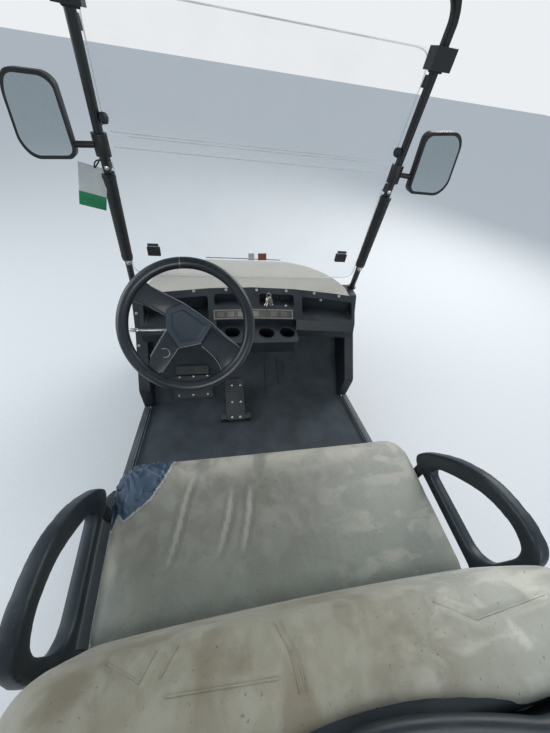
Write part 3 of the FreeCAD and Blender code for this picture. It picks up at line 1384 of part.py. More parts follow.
# Hanger plates from the basket to the rear struts: heights
hanger_thick = 8
for z in (750, 870):
    for _name, side in SIDES:
        x, y, _z = on_rear_strut(side, z)
        near, far = d.basket_half * side, x + 8 * side
        low, high = (near, far) if side > 0 else (far, near)
        rack_parts.append(box((low, basket_front - 30, Size.of(z)),
                              (high, y - d.strut_radius - 0.3, Size.of(z + hanger_thick))))
for _name, side in SIDES:
    x, y, _z = on_rear_strut(side, d.rack_z)
    rack_parts.append(rod((x, y - d.strut_radius - 0.3, d.rack_z), (x, d.rack_rear, d.rack_z), d.rack_radius))
rack_x = on_rear_strut(1, d.rack_z)[0] - d.rack_radius
rack_y = d.rack_rear + d.rack_radius
rack_parts.append(rod((-rack_x, rack_y, d.rack_z), (rack_x, rack_y, d.rack_z), d.rack_radius))
node("bag_rack", group(*rack_parts))

doc.recompute()


def check_document():
    """Stop if any object failed or any sub-part is not a sound solid."""
    for thing in doc.Objects:
        if "Invalid" in thing.State or "Error" in thing.State:
            raise ValueError(f"{thing.Label} failed: {thing.State}")
    for thing in NODES:
        shape = thing.Shape
        if shape.isNull() or not shape.isValid() or not shape.Solids:
            raise ValueError(f"{thing.Label} is not a sound solid")


def export_nodes():
    os.makedirs("parts", exist_ok=True)
    for thing in NODES:
        thing.Shape.exportStep(os.path.join("parts", f"{thing.Label}.step"))
        bounds = thing.Shape.BoundBox
        print(f"{thing.Label:24s} {len(thing.Shape.Solids)} {thing.Shape.Volume / 1e6:9.3f}",
              f"x {bounds.XMin:7.1f} {bounds.XMax:7.1f} y {bounds.YMin:7.1f} {bounds.YMax:7.1f}",
              f"z {bounds.ZMin:7.1f} {bounds.ZMax:7.1f}")


check_document()
export_nodes()
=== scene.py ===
"""The looks of a two-seat golf cart with a canopy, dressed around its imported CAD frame.

All sizes are in metres, with +Y forward, +X to the passenger's side and +Z up. The origin is on the ground,
midway between the bumpers.
"""

import logging
import math
from collections.abc import Callable, Iterable, Sequence
from dataclasses import dataclass, field
from enum import Enum

import bpy
from mathutils import Matrix, Vector, noise
from mathutils.bvhtree import BVHTree
from mathutils.geometry import intersect_point_line


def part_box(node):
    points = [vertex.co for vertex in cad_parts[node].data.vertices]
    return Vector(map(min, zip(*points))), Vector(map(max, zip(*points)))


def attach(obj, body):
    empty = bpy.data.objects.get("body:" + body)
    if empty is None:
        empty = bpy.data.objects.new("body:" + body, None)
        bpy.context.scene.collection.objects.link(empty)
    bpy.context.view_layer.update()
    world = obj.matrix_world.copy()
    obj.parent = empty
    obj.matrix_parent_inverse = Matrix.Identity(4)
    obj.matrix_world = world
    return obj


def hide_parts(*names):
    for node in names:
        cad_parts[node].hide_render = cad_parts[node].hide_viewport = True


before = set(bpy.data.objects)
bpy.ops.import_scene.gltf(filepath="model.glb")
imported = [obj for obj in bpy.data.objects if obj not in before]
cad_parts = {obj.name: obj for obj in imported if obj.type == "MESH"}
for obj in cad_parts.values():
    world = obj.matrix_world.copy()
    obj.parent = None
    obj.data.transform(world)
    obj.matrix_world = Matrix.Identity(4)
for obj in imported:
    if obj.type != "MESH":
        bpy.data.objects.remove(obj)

Point = Sequence[float]
Colour = tuple[float, float, float]
Thing = bpy.types.Object
Socket = bpy.types.NodeSocket
Shape = Callable[[float, float], Point]

log = logging.getLogger("golf_cart")


class Body(str, Enum):
    """The moving bodies that pieces ride on."""

    CHASSIS = "chassis"
    SEAT = "seat"
    WHEEL = "steering_wheel"
    FRONT_LEFT = "wheel_front_left"
    FRONT_RIGHT = "wheel_front_right"
    REAR_LEFT = "wheel_rear_left"
    REAR_RIGHT = "wheel_rear_right"


class Side(float, Enum):
    """The driver's and the passenger's side, as a sign of X."""

    LEFT = -1.0
    RIGHT = 1.0


class Graph:
    """Builds one node material around a Principled shader."""

    def __init__(self, name: str) -> None:
        """Starts an empty material.

        Args:
            name: the material's name.
        """
        self.material = bpy.data.materials.new(name)
        self.material.use_nodes = True
        self.nodes = self.material.node_tree.nodes
        self.links = self.material.node_tree.links
        self.shader = self.nodes["Principled BSDF"]
        self.where = self.nodes.new("ShaderNodeTexCoord")
        self.normal: Socket | None = None

    def feed(self, socket: Socket, value: object) -> None:
        """Links a socket to another one, or sets its value.

        Args:
            socket: the input to fill.
            value: a socket, a number, a vector or a colour.
        """
        if isinstance(value, bpy.types.NodeSocket):
            self.links.new(value, socket)
        elif socket.type == "RGBA":
            socket.default_value = (*value, 1.0)
        else:
            socket.default_value = value

    def add(self, kind: str, inputs: dict[str, object], **settings: object) -> bpy.types.Node:
        """Adds a node.

        Args:
            kind: the node's type, without its ShaderNode prefix.
            inputs: values or sockets by input name.
            settings: the node's own options.

        Returns:
            The new node.
        """
        node = self.nodes.new("ShaderNode" + kind)
        for key, value in settings.items():
            setattr(node, key, value)
        for key, value in inputs.items():
            self.feed(node.inputs[key], value)
        return node

    def shade(self, **values: object) -> None:
        """Fills the shader's inputs, named with underscores for spaces."""
        for key, value in values.items():
            self.feed(self.shader.inputs[key.replace("_", " ")], value)

    def place(self, stretch: Point = (1, 1, 1), turn: Point = (0, 0, 0)) -> Socket:
        """Returns the piece's own coordinates, scaled by stretch and turned, in radians."""
        inputs = {"Vector": self.where.outputs["Object"], "Scale": stretch, "Rotation": turn}
        return self.add("Mapping", inputs).outputs[0]

    def noise(
        self, size: float, detail: float = 4.0, stretch: Point = (1, 1, 1), warp: float = 0.0
    ) -> Socket:
        """Adds cloudy noise.

        Args:
            size: the clouds' size in metres.
            detail: octaves.
            stretch: scale of the coordinates along each axis.
            warp: how far the clouds are distorted.

        Returns:
            The noise, from 0 to 1.
        """
        inputs = {"Vector": self.place(stretch), "Scale": 1 / size, "Detail": detail, "Distortion": warp}
        return self.add("TexNoise", inputs).outputs[0]

    def cells(self, size: float, feature: str = "F1", stretch: Point = (1, 1, 1)) -> Socket:
        """Returns the distance field of scattered cells of that size in metres."""
        inputs = {"Vector": self.place(stretch), "Scale": 1 / size}
        return self.add("TexVoronoi", inputs, feature=feature).outputs["Distance"]

    def axis(self, name: str) -> Socket:
        """Returns one of the piece's own coordinates, X, Y or Z, in metres."""
        return self.add("SeparateXYZ", {"Vector": self.where.outputs["Object"]}).outputs[name]

    def facing(self, name: str = "Z") -> Socket:
        """Returns how far the surface faces along an axis, from -1 to 1."""
        return self.add("SeparateXYZ", {"Vector": self.where.outputs["Normal"]}).outputs[name]

    def band(self, value: Socket, low: float, high: float, start: float = 0.0, end: float = 1.0) -> Socket:
        """Maps a value smoothly from low..high to start..end, and holds it beyond them."""
        inputs = {"Value": value, "From Min": low, "From Max": high, "To Min": start, "To Max": end}
        return self.add("MapRange", inputs, interpolation_type="SMOOTHSTEP").outputs[0]

    def sums(self, operation: str, a: object, b: object = 0.0) -> Socket:
        """Returns the result of one Math node, such as MULTIPLY, on two values."""
        node = self.add("Math", {}, operation=operation)
        self.feed(node.inputs[0], a)
        self.feed(node.inputs[1], b)
        return node.outputs[0]

    def mix(self, share: object, a: object, b: object, mode: str = "MIX") -> Socket:
        """Mixes two colours.

        Args:
            share: how much of b shows, from 0 to 1.
            a: a colour or a socket.
            b: a colour or a socket.
            mode: the blend type.

        Returns:
            The mixed colour.
        """
        node = self.add("Mix", {}, data_type="RGBA", blend_type=mode)
        self.feed(node.inputs[0], share)
        self.feed(node.inputs[6], a)
        self.feed(node.inputs[7], b)
        return node.outputs[2]

    def relief(self, height: Socket, depth: float) -> None:
        """Adds bump on top of the bump so far.

        Args:
            height: the height field, from 0 to 1.
            depth: its full height in metres.
        """
        node = self.add("Bump", {"Height": height, "Distance": depth, "Strength": 1.0})
        if self.normal:
            self.links.new(self.normal, node.inputs["Normal"])
        self.normal = node.outputs[0]
        self.links.new(self.normal, self.shader.inputs["Normal"])


@dataclass(frozen=True)
class Finish:
    """A surface that pieces share."""

    name: str
    colour: Colour

    def dress(self, graph: Graph) -> None:
        """Fills the graph of this finish's material."""
        graph.shade(Base_Color=self.colour)

    def material(self) -> bpy.types.Material:
        """Returns this finish's material, built at its first use."""
        name = f"{self.name}_finish"
        found = bpy.data.materials.get(name)
        if found:
            return found
        graph = Graph(name)
        self.dress(graph)
        return graph.material


@dataclass(frozen=True)
class Moulded(Finish):
    """Moulded plastic or rubber: fine grain, settled dust, pale scuffs and painted shade in its hollows."""

    dust: Colour = (0.17, 0.17, 0.16)
    dusty: float = 0.35
    rough: float = 0.55
    grain: float = 0.00012
    grain_size: float = 0.0016
    scuffed: float = 0.3
    coat: float = 0.0

    def dress(self, graph: Graph) -> None:
        """Fills the graph: colour under dust and scuffs, painted shade in the hollows, grain in the relief.
        """
        cloud = graph.band(graph.noise(0.13, 7, warp=0.3), 0.20, 0.78)
        up = graph.band(graph.facing(), 0.1, 0.95, 0.25, 1.0)
        settled = graph.sums("MULTIPLY", graph.sums("MULTIPLY", cloud, up), self.dusty)
        speck = graph.band(graph.noise(0.004, 3), 0.60, 0.74, 0.0, self.dusty)
        film = graph.sums("MAXIMUM", settled, graph.sums("MULTIPLY", speck, up))
        scratch = graph.band(graph.noise(0.009, 5, (1, 9, 4), 1.2), 0.66, 0.71, 0.0, self.scuffed)
        patch = graph.band(graph.noise(0.2, 3), 0.45, 0.62)
        worn = graph.sums("MULTIPLY", scratch, patch)
        shade = graph.mix(graph.noise(0.03, 3), self.colour, tuple(0.72 * c for c in self.colour))
        shade = graph.mix(film, shade, self.dust)
        # Painted shade: the colour darkens where the piece's own surfaces hide the sky, in hollows and
        # recesses.
        open_sky = graph.add("AmbientOcclusion", {"Distance": 0.14}, samples=6, only_local=True).outputs["AO"]
        hollow_shade = graph.band(open_sky, 0.25, 0.80, 0.80, 0.0)
        shade = graph.mix(hollow_shade, shade, tuple(0.20 * c for c in self.colour))
        shade = graph.mix(worn, shade, tuple(min(1.0, 0.25 + 1.3 * c) for c in self.colour))
        graph.shade(Base_Color=shade)
        graph.shade(Roughness=graph.band(film, 0.0, 0.6, self.rough, min(1.0, self.rough + 0.3)))
        graph.shade(Coat_Weight=self.coat, Coat_Roughness=0.12)
        graph.relief(graph.noise(self.grain_size, 2), self.grain)


@dataclass(frozen=True)
class Painted(Finish):
    """Paint on metal or on a body panel: orange peel, grime low down, chips and rust."""

    primer: Colour = (0.16, 0.10, 0.07)
    chipped: float = 0.25
    grime: Colour = (0.16, 0.14, 0.11)
    grimy: float = 0.3
    rough: float = 0.35
    coat: float = 0.3
    peel: float = 0.00006

    def dress(self, graph: Graph) -> None:
        """Fills the graph: paint, grime and chips over primer."""
        chips = graph.band(graph.noise(0.012, 6, warp=0.6), 0.67, 0.70, 0.0, self.chipped)
        where = graph.band(graph.noise(0.09, 2), 0.5, 0.62)
        chips = graph.sums("MULTIPLY", chips, where)
        low = graph.band(graph.axis("Z"), 0.2, 0.9, 1.0, 0.25)
        film = graph.band(graph.noise(0.13, 7, (1, 1, 0.35), 0.5), 0.42, 0.72, 0.0, self.grimy)
        film = graph.sums("MULTIPLY", film, low)
        shade = graph.mix(graph.noise(0.25, 3), self.colour, tuple(0.86 * c for c in self.colour))
        shade = graph.mix(film, shade, self.grime)
        shade = graph.mix(chips, shade, self.primer)
        graph.shade(Base_Color=shade)
        rough = graph.band(film, 0.0, 0.5, self.rough, min(1.0, self.rough + 0.35))
        graph.shade(Roughness=graph.sums("MAXIMUM", rough, graph.sums("MULTIPLY", chips, 0.8)))
        graph.shade(Coat_Weight=self.coat, Coat_Roughness=0.08)
        graph.relief(graph.noise(0.004, 2), self.peel)
        graph.relief(graph.sums("SUBTRACT", 1.0, chips), 0.00015)


@dataclass(frozen=True)
class Metal(Finish):
    """Bare or plated metal with brush marks and dull spots."""

    rough: float = 0.28
    tarnish: Colour = (0.20, 0.16, 0.12)
    tarnished: float = 0.3

    def dress(self, graph: Graph) -> None:
        """Fills the graph: metal, brush marks and tarnish."""
        spots = graph.band(graph.noise(0.02, 6, warp=0.5), 0.52, 0.75, 0.0, self.tarnished)
        marks = graph.noise(0.0015, 3, (1, 0.12, 1))
        graph.shade(Base_Color=graph.mix(spots, self.colour, self.tarnish), Metallic=1.0)
        rough = graph.band(marks, 0.3, 0.7, self.rough, self.rough + 0.14)
        graph.shade(Roughness=graph.sums("ADD", rough, graph.sums("MULTIPLY", spots, 0.5)))
        graph.relief(marks, 0.00003)


@dataclass(frozen=True)
class Vinyl(Finish):
    """Upholstery vinyl with a painted sheen on its right side: pebble grain, cloudy stains, warm edges, dark
    specks.
    """

    warm: Colour
    stain: Colour
    scuff: Colour
    edge: tuple[str, float, float] = ("Y", -0.30, -0.17)
    stained: float = 0.55
    scuffed: float = 0.5
    browned: float = 0.55
    painted_sheen_share: float = 0.55
    painted_sky_share: float = 0.50
    painted_fold_shading: float = 0.36

    def dress(self, graph: Graph) -> None:
        """Fills the graph: stains, painted sheen, painted sky tint, warm edges, scuffs, painted fold shading,
        specks.
        """
        cloud = graph.band(graph.noise(0.30, 7, (1, 1.3, 1), 0.4), 0.38, 0.62)
        fine = graph.band(graph.noise(0.045, 8, (1, 1, 1), 0.4), 0.42, 0.62)
        shade = graph.mix(graph.sums("MULTIPLY", cloud, self.stained), self.colour, self.stain)
        shade = graph.mix(graph.sums("MULTIPLY", fine, 0.42), shade, self.scuff)
        smear = graph.band(graph.noise(0.045, 7, (1.0, 0.28, 0.28), 0.4), 0.50, 0.68, 0.0, 0.34)
        shade = graph.mix(smear, shade, tuple(0.5 * (a + b) for a, b in zip(self.stain, self.scuff)))
        brown = graph.band(graph.noise(0.08, 9, (1.0, 0.6, 1.0), 0.5), 0.46, 0.66, 0.0, self.browned)
        shade = graph.mix(brown, shade, tuple(c * k for c, k in zip(self.stain, (1.08, 1.02, 0.96))))
        # Painted sheen: the colour pales towards the right side, to pale, a bluish-white sheen colour that
        # stands in for the sky's reflection there.
        side = graph.band(graph.axis("X"), -0.05, 0.42)
        pale = tuple(min(1.0, c * k) for c, k in zip(self.warm, (1.05, 1.13, 1.20)))
        shade = graph.mix(graph.sums("MULTIPLY", side, self.painted_sheen_share), shade, pale)
        # Painted reflection: the colour turns bluer towards the seat's rear, standing in for the sky
        # reflected there.
        painted_sky_tint = graph.band(graph.axis("Y"), -0.58, -0.36, self.painted_sky_share, 0.0)
        shade = graph.mix(painted_sky_tint, shade, tuple(c * k for c, k in zip(self.colour, (0.84, 1.02, 1.06))))
        axis, low, high = self.edge
        near = graph.band(graph.axis(axis), low, high)
        across = graph.sums("ABSOLUTE", graph.axis("X"))
        corner = graph.band(across, 0.34, 0.52)
        worn = graph.sums("MAXIMUM", near, graph.sums("MULTIPLY", corner, 0.55))
        ragged = graph.band(graph.noise(0.10, 9, warp=0.6), 0.34, 0.60)
        shade = graph.mix(graph.sums("MULTIPLY", worn, ragged), shade, self.warm)
        # Pale rubbed scuffs, kept to the right side by the same mask as the painted sheen.
        rubbed = graph.band(graph.noise(0.07, 10, (0.7, 1.2, 1), 0.5), 0.48, 0.63, 0.0, self.scuffed)
        rubbed = graph.sums("MULTIPLY", rubbed, side)
        shade = graph.mix(rubbed, shade, tuple(min(1.0, 1.15 * c + 0.06) for c in self.warm))
        # Painted highlight and shade on the folds: by curvature, crests pale towards the sheen colour and
        # creases darken towards the stain colour.
        bulge = graph.add("NewGeometry", {}).outputs["Pointiness"]
        shade = graph.mix(graph.band(bulge, 0.506, 0.540, 0.0, self.painted_fold_shading), shade, pale)
        shade = graph.mix(graph.band(bulge, 0.494, 0.470, 0.0, self.painted_fold_shading), shade, self.stain)
        specks = graph.band(graph.noise(0.006, 4), 0.65, 0.74, 0.0, 0.55)
        shade = graph.mix(specks, shade, tuple(0.35 * c for c in self.stain))
        graph.shade(Base_Color=shade)
        graph.shade(Roughness=graph.band(fine, 0.0, 1.0, 0.48, 0.66), Specular_IOR_Level=0.42)
        graph.shade(Sheen_Weight=0.12, Sheen_Roughness=0.6)
        graph.relief(graph.cells(0.0022, "SMOOTH_F1"), 0.00022)
        graph.relief(graph.noise(0.05, 5, warp=0.4), 0.0018)
        graph.relief(graph.noise(0.016, 5, (1.0, 0.5, 0.5), 0.4), 0.0007)


@dataclass(frozen=True)
class Tape(Finish):
    """Cloth tape: a dull plastic face over a weave, wrinkled, torn pale at its edges."""

    worn: Colour = (0.24, 0.29, 0.35)

    def dress(self, graph: Graph) -> None:
        """Fills the graph: weave and creases in the relief, rubbed colour on the creases."""
        crease = graph.noise(0.060, 6, (1.0, 0.45, 1.0), 0.9)
        ridge = graph.band(graph.cells(0.10, "DISTANCE_TO_EDGE", (1.0, 0.5, 1.0)), 0.0, 0.022, 0.45, 0.0)
        rubbed = graph.sums("MAXIMUM", graph.band(crease, 0.50, 0.78, 0.0, 0.45), ridge)
        graph.shade(Base_Color=graph.mix(rubbed, self.colour, self.worn))
        graph.shade(Roughness=graph.band(crease, 0.3, 0.7, 0.30, 0.5), Metallic=0.25)
        weave = graph.add("TexWave", {"Vector": graph.place(), "Scale": 420.0}).outputs[1]
        graph.relief(weave, 0.00006)
        graph.relief(crease, 0.0026)
        graph.relief(ridge, 0.0007)


@dataclass(frozen=True)
class Clear(Finish):
    """A clear plastic sheet: reflections by angle, hairline scratches and haze."""

    haze: float = 0.05
    scratched: float = 0.35

    def dress(self, graph: Graph) -> None:
        """Fills the graph: alpha from the angle, the scratches and the haze."""
        sheer = graph.sums("POWER", graph.add("LayerWeight", {"Blend": 0.5}).outputs["Facing"], 3.0)
        lines = graph.band(graph.noise(0.012, 4, (1, 1, 14), 2.0), 0.665, 0.69, 0.0, self.scratched)
        patch = graph.band(graph.noise(0.22, 3), 0.52, 0.70)
        marks = graph.sums("MULTIPLY", lines, patch)
        film = graph.band(graph.noise(0.16, 6), 0.35, 0.75, 0.4 * self.haze, self.haze)
        alpha = graph.sums("MAXIMUM", graph.sums("ADD", graph.sums("MULTIPLY", sheer, 0.60), film), marks)
        graph.shade(Base_Color=self.colour, Roughness=0.06, Specular_IOR_Level=0.8)
        graph.shade(Alpha=graph.sums("MINIMUM", alpha, 1.0))
        graph.relief(graph.noise(0.3, 2), 0.0005)


@dataclass(frozen=True)
class Glass(Finish):
    """A silvered mirror or a moulded lamp lens."""

    metallic: float = 1.0
    rough: float = 0.04
    ribs: float = 0.0

    def dress(self, graph: Graph) -> None:
        """Fills the graph: a bright face with water marks, or lens ribs."""
        marks = graph.band(graph.noise(0.03, 7), 0.55, 0.75, 0.0, 0.25)
        graph.shade(Base_Color=graph.mix(marks, self.colour, tuple(0.7 * c for c in self.colour)))
        graph.shade(Roughness=graph.band(marks, 0.0, 0.25, self.rough, self.rough + 0.12))
        graph.shade(Metallic=self.metallic, Coat_Weight=0.6, Coat_Roughness=0.03)
        if self.ribs:
            wave = graph.add("TexWave", {"Vector": graph.place(), "Scale": 3.2 / self.ribs}).outputs[1]
            graph.relief(wave, 0.0012)


class Bench:
    """Modelling steps with Blender's own operators, shared by all the pieces."""

    @staticmethod
    def take(*things: Thing) -> None:
        """Selects these objects alone and makes the first one active."""
        if bpy.context.mode != "OBJECT":
            bpy.ops.object.mode_set(mode="OBJECT")
        bpy.ops.object.select_all(action="DESELECT")
        for thing in things:
            thing.select_set(True)
        if things:
            bpy.context.view_layer.objects.active = things[0]

    @staticmethod
    def edit(thing: Thing, picked: bool = True) -> None:
        """Opens a piece in edit mode, with all or none of it selected."""
        Bench.take(thing)
        bpy.ops.object.mode_set(mode="EDIT")
        bpy.ops.mesh.select_all(action="SELECT" if picked else "DESELECT")

    @staticmethod
    def pick(thing: Thing, flags: Sequence[bool]) -> None:
        """Opens a piece in edit mode with the flagged faces selected."""
        Bench.edit(thing, picked=False)
        bpy.ops.mesh.select_mode(type="FACE")
        Bench.done()
        for face, flag in zip(thing.data.polygons, flags):
            face.select = flag
        bpy.ops.object.mode_set(mode="EDIT")

    @staticmethod
    def done() -> Thing:
        """Leaves edit mode and returns the active piece."""
        bpy.ops.object.mode_set(mode="OBJECT")
        return bpy.context.object

    @staticmethod
    def settle(thing: Thing) -> Thing:
        """Puts the piece's place into its mesh and returns it."""
        Bench.take(thing)
        bpy.ops.object.transform_apply(location=True, rotation=True, scale=True)
        return thing

    @staticmethod
    def modify(thing: Thing, kind: str, **settings: object) -> Thing:
        """Adds a modifier and applies it.

        Args:
            thing: the piece.
            kind: the modifier's type, such as BEVEL.
            settings: the modifier's options.

        Returns:
            The piece.
        """
        Bench.take(thing)
        modifier = thing.modifiers.new(kind.title(), kind)
        for key, value in settings.items():
            setattr(modifier, key, value)
        bpy.ops.object.modifier_apply(modifier=modifier.name)
        return thing

    @staticmethod
    def soften(thing: Thing, width: float, segments: int = 2, angle: float = 35.0) -> Thing:
        """Rounds the edges sharper than angle, in degrees, over width, and returns the piece."""
        if not width:
            return thing
        limits = {"limit_method": "ANGLE", "angle_limit": math.radians(angle), "harden_normals": False}
        return Bench.modify(thing, "BEVEL", width=width, segments=segments, **limits)

    @staticmethod
    def block(name: str, low: Point, high: Point, bevel: float = 0.0, segments: int = 2) -> Thing:
        """Makes a rounded block between two corners.

        Args:
            name: the piece's name.
            low: its lowest corner.
            high: its highest corner.
            bevel: the rounding of its edges.
            segments: steps in the rounding.

        Returns:
            The piece.
        """
        middle = (Vector(low) + Vector(high)) / 2
        size = Vector(high) - Vector(low)
        Bench.take()
        bpy.ops.mesh.primitive_cube_add(size=1, location=middle, scale=size)
        thing = Bench.settle(bpy.context.object)
        thing.name = name
        return Bench.soften(thing, bevel, segments)

    @staticmethod
    def rod(name: str, start: Point, end: Point, radius: float, sides: int = 20, bevel: float = 0.0) -> Thing:
        """Makes a round bar, pin or disc.

        Args:
            name: the piece's name.
            start: the middle of one end.
            end: the middle of the other end.
            radius: its radius.
            sides: its flats.
            bevel: the rounding of its ends.

        Returns:
            The piece.
        """
        run = Vector(end) - Vector(start)
        turn = run.to_track_quat("Z", "Y").to_euler()
        middle = (Vector(start) + Vector(end)) / 2
        Bench.take()
        bpy.ops.mesh.primitive_cylinder_add(
            vertices=sides, radius=radius, depth=run.length, location=middle, rotation=turn
        )
        thing = Bench.settle(bpy.context.object)
        thing.name = name
        return Bench.soften(thing, bevel, 2, 50.0)

    @staticmethod
    def lathe(name: str, profile: Sequence[Point], start: Point, axis: Point, steps: int = 24) -> Thing:
        """Spins a closed profile round an axis.

        Args:
            name: the piece's name.
            profile: (radius, distance along the axis) pairs.
            start: where the axis starts.
            axis: its direction.
            steps: flats around it.

        Returns:
            The piece.
        """
        Bench.take()
        bpy.ops.mesh.primitive_circle_add(vertices=len(profile), radius=1)
        thing = bpy.context.object
        thing.name = name
        for vertex, (radius, along) in zip(thing.data.vertices, profile):
            vertex.co = (radius, 0, along)
        Bench.edit(thing)
        bpy.ops.mesh.spin(steps=steps, angle=2 * math.pi, center=(0, 0, 0), axis=(0, 0, 1))
        bpy.ops.mesh.select_all(action="SELECT")
        bpy.ops.mesh.remove_doubles(threshold=1e-5)
        bpy.ops.mesh.dissolve_degenerate(threshold=1e-6)
        bpy.ops.mesh.normals_make_consistent(inside=False)
        Bench.done()
        turn = Vector(axis).to_track_quat("Z", "Y").to_matrix().to_4x4()
        thing.matrix_world = Matrix.Translation(Vector(start)) @ turn
        return Bench.settle(thing)

    @staticmethod
    def slab(
        name: str, outline: Sequence[Point], push: Point, bevel: float = 0.0, segments: int = 2
    ) -> Thing:
        """Extrudes a flat outline.

        Args:
            name: the piece's name.
            outline: its corners in space, all in one plane.
            push: how far and where it is extruded.
            bevel: the rounding of its edges.
            segments: steps in the rounding.

        Returns:
            The piece.
        """
        Bench.take()
        bpy.ops.mesh.primitive_circle_add(vertices=len(outline), radius=1, fill_type="NGON")
        thing = bpy.context.object
        thing.name = name
        for vertex, corner in zip(thing.data.vertices, outline):
            vertex.co = corner
        Bench.edit(thing)
        bpy.ops.mesh.extrude_region_move(TRANSFORM_OT_translate={"value": tuple(push)})
        bpy.ops.mesh.select_all(action="SELECT")
        bpy.ops.mesh.normals_make_consistent(inside=False)
        Bench.done()
        return Bench.soften(thing, bevel, segments)

    @staticmethod
    def tube(name: str, route: Sequence[Point], radius: float, closed: bool = False, sides: int = 2) -> Thing:
        """Runs a round bar or a wire along a smooth route.

        Args:
            name: the piece's name.
            route: the route's control points.
            radius: the bar's radius.
            closed: whether the route comes back to its start.
            sides: the curve's bevel resolution.

        Returns:
            The piece.
        """
        curve = bpy.data.curves.new(name, "CURVE")
        curve.dimensions = "3D"
        curve.bevel_depth = radius
        curve.bevel_resolution = sides
        curve.resolution_u = 6
        curve.use_fill_caps = True
        spline = curve.splines.new("NURBS")
        spline.points.add(len(route) - 1)
        for point, place in zip(spline.points, route):
            point.co = (*place, 1.0)
        spline.order_u = 3
        spline.use_endpoint_u = not closed
        spline.use_cyclic_u = closed
        thing = bpy.data.objects.new(name, curve)
        bpy.context.scene.collection.objects.link(thing)
        Bench.take(thing)
        bpy.ops.object.convert(target="MESH")
        return bpy.context.object

    @staticmethod
    def form(name: str, columns: int, rows: int, shape: Shape) -> Thing:
        """Bends a grid into a surface, whose meeting edges are merged.

        Args:
            name: the piece's name.
            columns: faces along u.
            rows: faces along v.
            shape: gives the place of (u, v), each from 0 to 1.

        Returns:
            The piece, with its faces turned outwards.
        """
        Bench.take()
        bpy.ops.mesh.primitive_grid_add(x_subdivisions=columns, y_subdivisions=rows, size=2)
        thing = bpy.context.object
        thing.name = name
        for vertex in thing.data.vertices:
            vertex.co = shape((vertex.co.x + 1) / 2, (vertex.co.y + 1) / 2)
        Bench.edit(thing)
        bpy.ops.mesh.remove_doubles(threshold=1e-5)
        bpy.ops.mesh.normals_make_consistent(inside=False)
        return Bench.done()

    @staticmethod
    def copy(thing: Thing, name: str, place: Matrix) -> Thing:
        """Copies a piece with its own mesh.

        Args:
            thing: the piece to copy.
            name: the copy's name.
            place: the matrix that carries it to its place; one that mirrors is set right again.

        Returns:
            The copy.
        """
        twin = bpy.data.objects.new(name, thing.data.copy())
        bpy.context.scene.collection.objects.link(twin)
        twin.data.transform(place)
        if place.determinant() < 0:
            twin.data.flip_normals()
        return twin

    @staticmethod
    def join(name: str, things: Iterable[Thing]) -> Thing:
        """Joins pieces into one and returns it."""
        parts = list(things)
        Bench.take(*parts)
        if len(parts) > 1:
            bpy.ops.object.join()
        whole = bpy.context.view_layer.objects.active
        whole.name = name
        return whole

    @staticmethod
    def from_node(node: str, name: str) -> Thing:
        """Copies a CAD node as a merged mesh to work on, and returns it."""
        thing = Bench.copy(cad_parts[node], name, Matrix.Identity(4))
        thing.data.materials.clear()
        Bench.edit(thing)
        bpy.ops.mesh.remove_doubles(threshold=1e-5)
        return Bench.done()

    @staticmethod
    def paint(finish: Finish, *nodes: str) -> None:
        """Gives CAD nodes a finish."""
        for node in nodes:
            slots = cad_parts[node].material_slots
            if not slots:
                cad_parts[node].data.materials.append(finish.material())
            for slot in slots:
                slot.link = "OBJECT"
                slot.material = finish.material()
            log.info("node %s in %s", node, finish.name)

    @staticmethod
    def fit(
        thing: Thing, finish: Finish, body: Body, slot: str = "", stands_for: Sequence[str] = ()
    ) -> Thing:
        """Finishes a piece: smooth shading, its material, its body and what it stands for.

        Args:
            thing: the piece.
            finish: its surface.
            body: what it moves with.
            slot: not used.
            stands_for: the CAD nodes that it replaces.

        Returns:
            The piece.
        """
        Bench.settle(thing)
        bpy.ops.object.shade_smooth_by_angle(angle=math.radians(38))
        thing.data.materials.clear()
        thing.data.materials.append(finish.material())
        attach(thing, body.value)
        if stands_for:
            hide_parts(*stands_for)
        log.info("piece %s: %d faces in %s", thing.name, len(thing.data.polygons), finish.name)
        return thing


TYRE_RUBBER = Moulded("tyre_rubber", (0.020, 0.020, 0.021), (0.13, 0.12, 0.11), 0.5, 0.78, 0.0002, 0.003)
RIM_PAINT = Painted("rim_paint", (0.58, 0.57, 0.54), grimy=0.55, chipped=0.5)
FRAME_PAINT = Painted("frame_paint", (0.014, 0.014, 0.015), chipped=0.55, rough=0.5, coat=0.1)
SPRING_STEEL = Painted("spring_steel", (0.035, 0.030, 0.027), chipped=0.8, rough=0.6, coat=0.0)
CAST_METAL = Metal("cast_metal", (0.38, 0.37, 0.36), 0.42, tarnished=0.7)
BRIGHT_METAL = Metal("bright_metal", (0.78, 0.78, 0.77), 0.20, tarnished=0.15)
FLOOR_RUBBER = Moulded(
    "floor_rubber", (0.036, 0.046, 0.056), (0.125, 0.150, 0.170), 0.60, 0.78, 0.0003, 0.004
)
SILL_PLASTIC = Moulded("sill_plastic", (0.050, 0.060, 0.070), (0.24, 0.27, 0.30), 0.55, 0.36, scuffed=0.8)
DASH_PLASTIC = Moulded("dash_plastic", (0.015, 0.022, 0.030), (0.080, 0.098, 0.112), 0.45, 0.46)
DARK_PLASTIC = Moulded("dark_plastic", (0.006, 0.007, 0.009), (0.05, 0.05, 0.05), 0.3, 0.5)
BODY_PAINT = Painted("body_paint", (0.66, 0.63, 0.56), rough=0.16, coat=1.0, grimy=0.25)
BATTERY_CASE = Moulded("battery_case", (0.024, 0.024, 0.025), rough=0.5)
BATTERY_TOP = Moulded("battery_top", (0.30, 0.035, 0.020), rough=0.5)
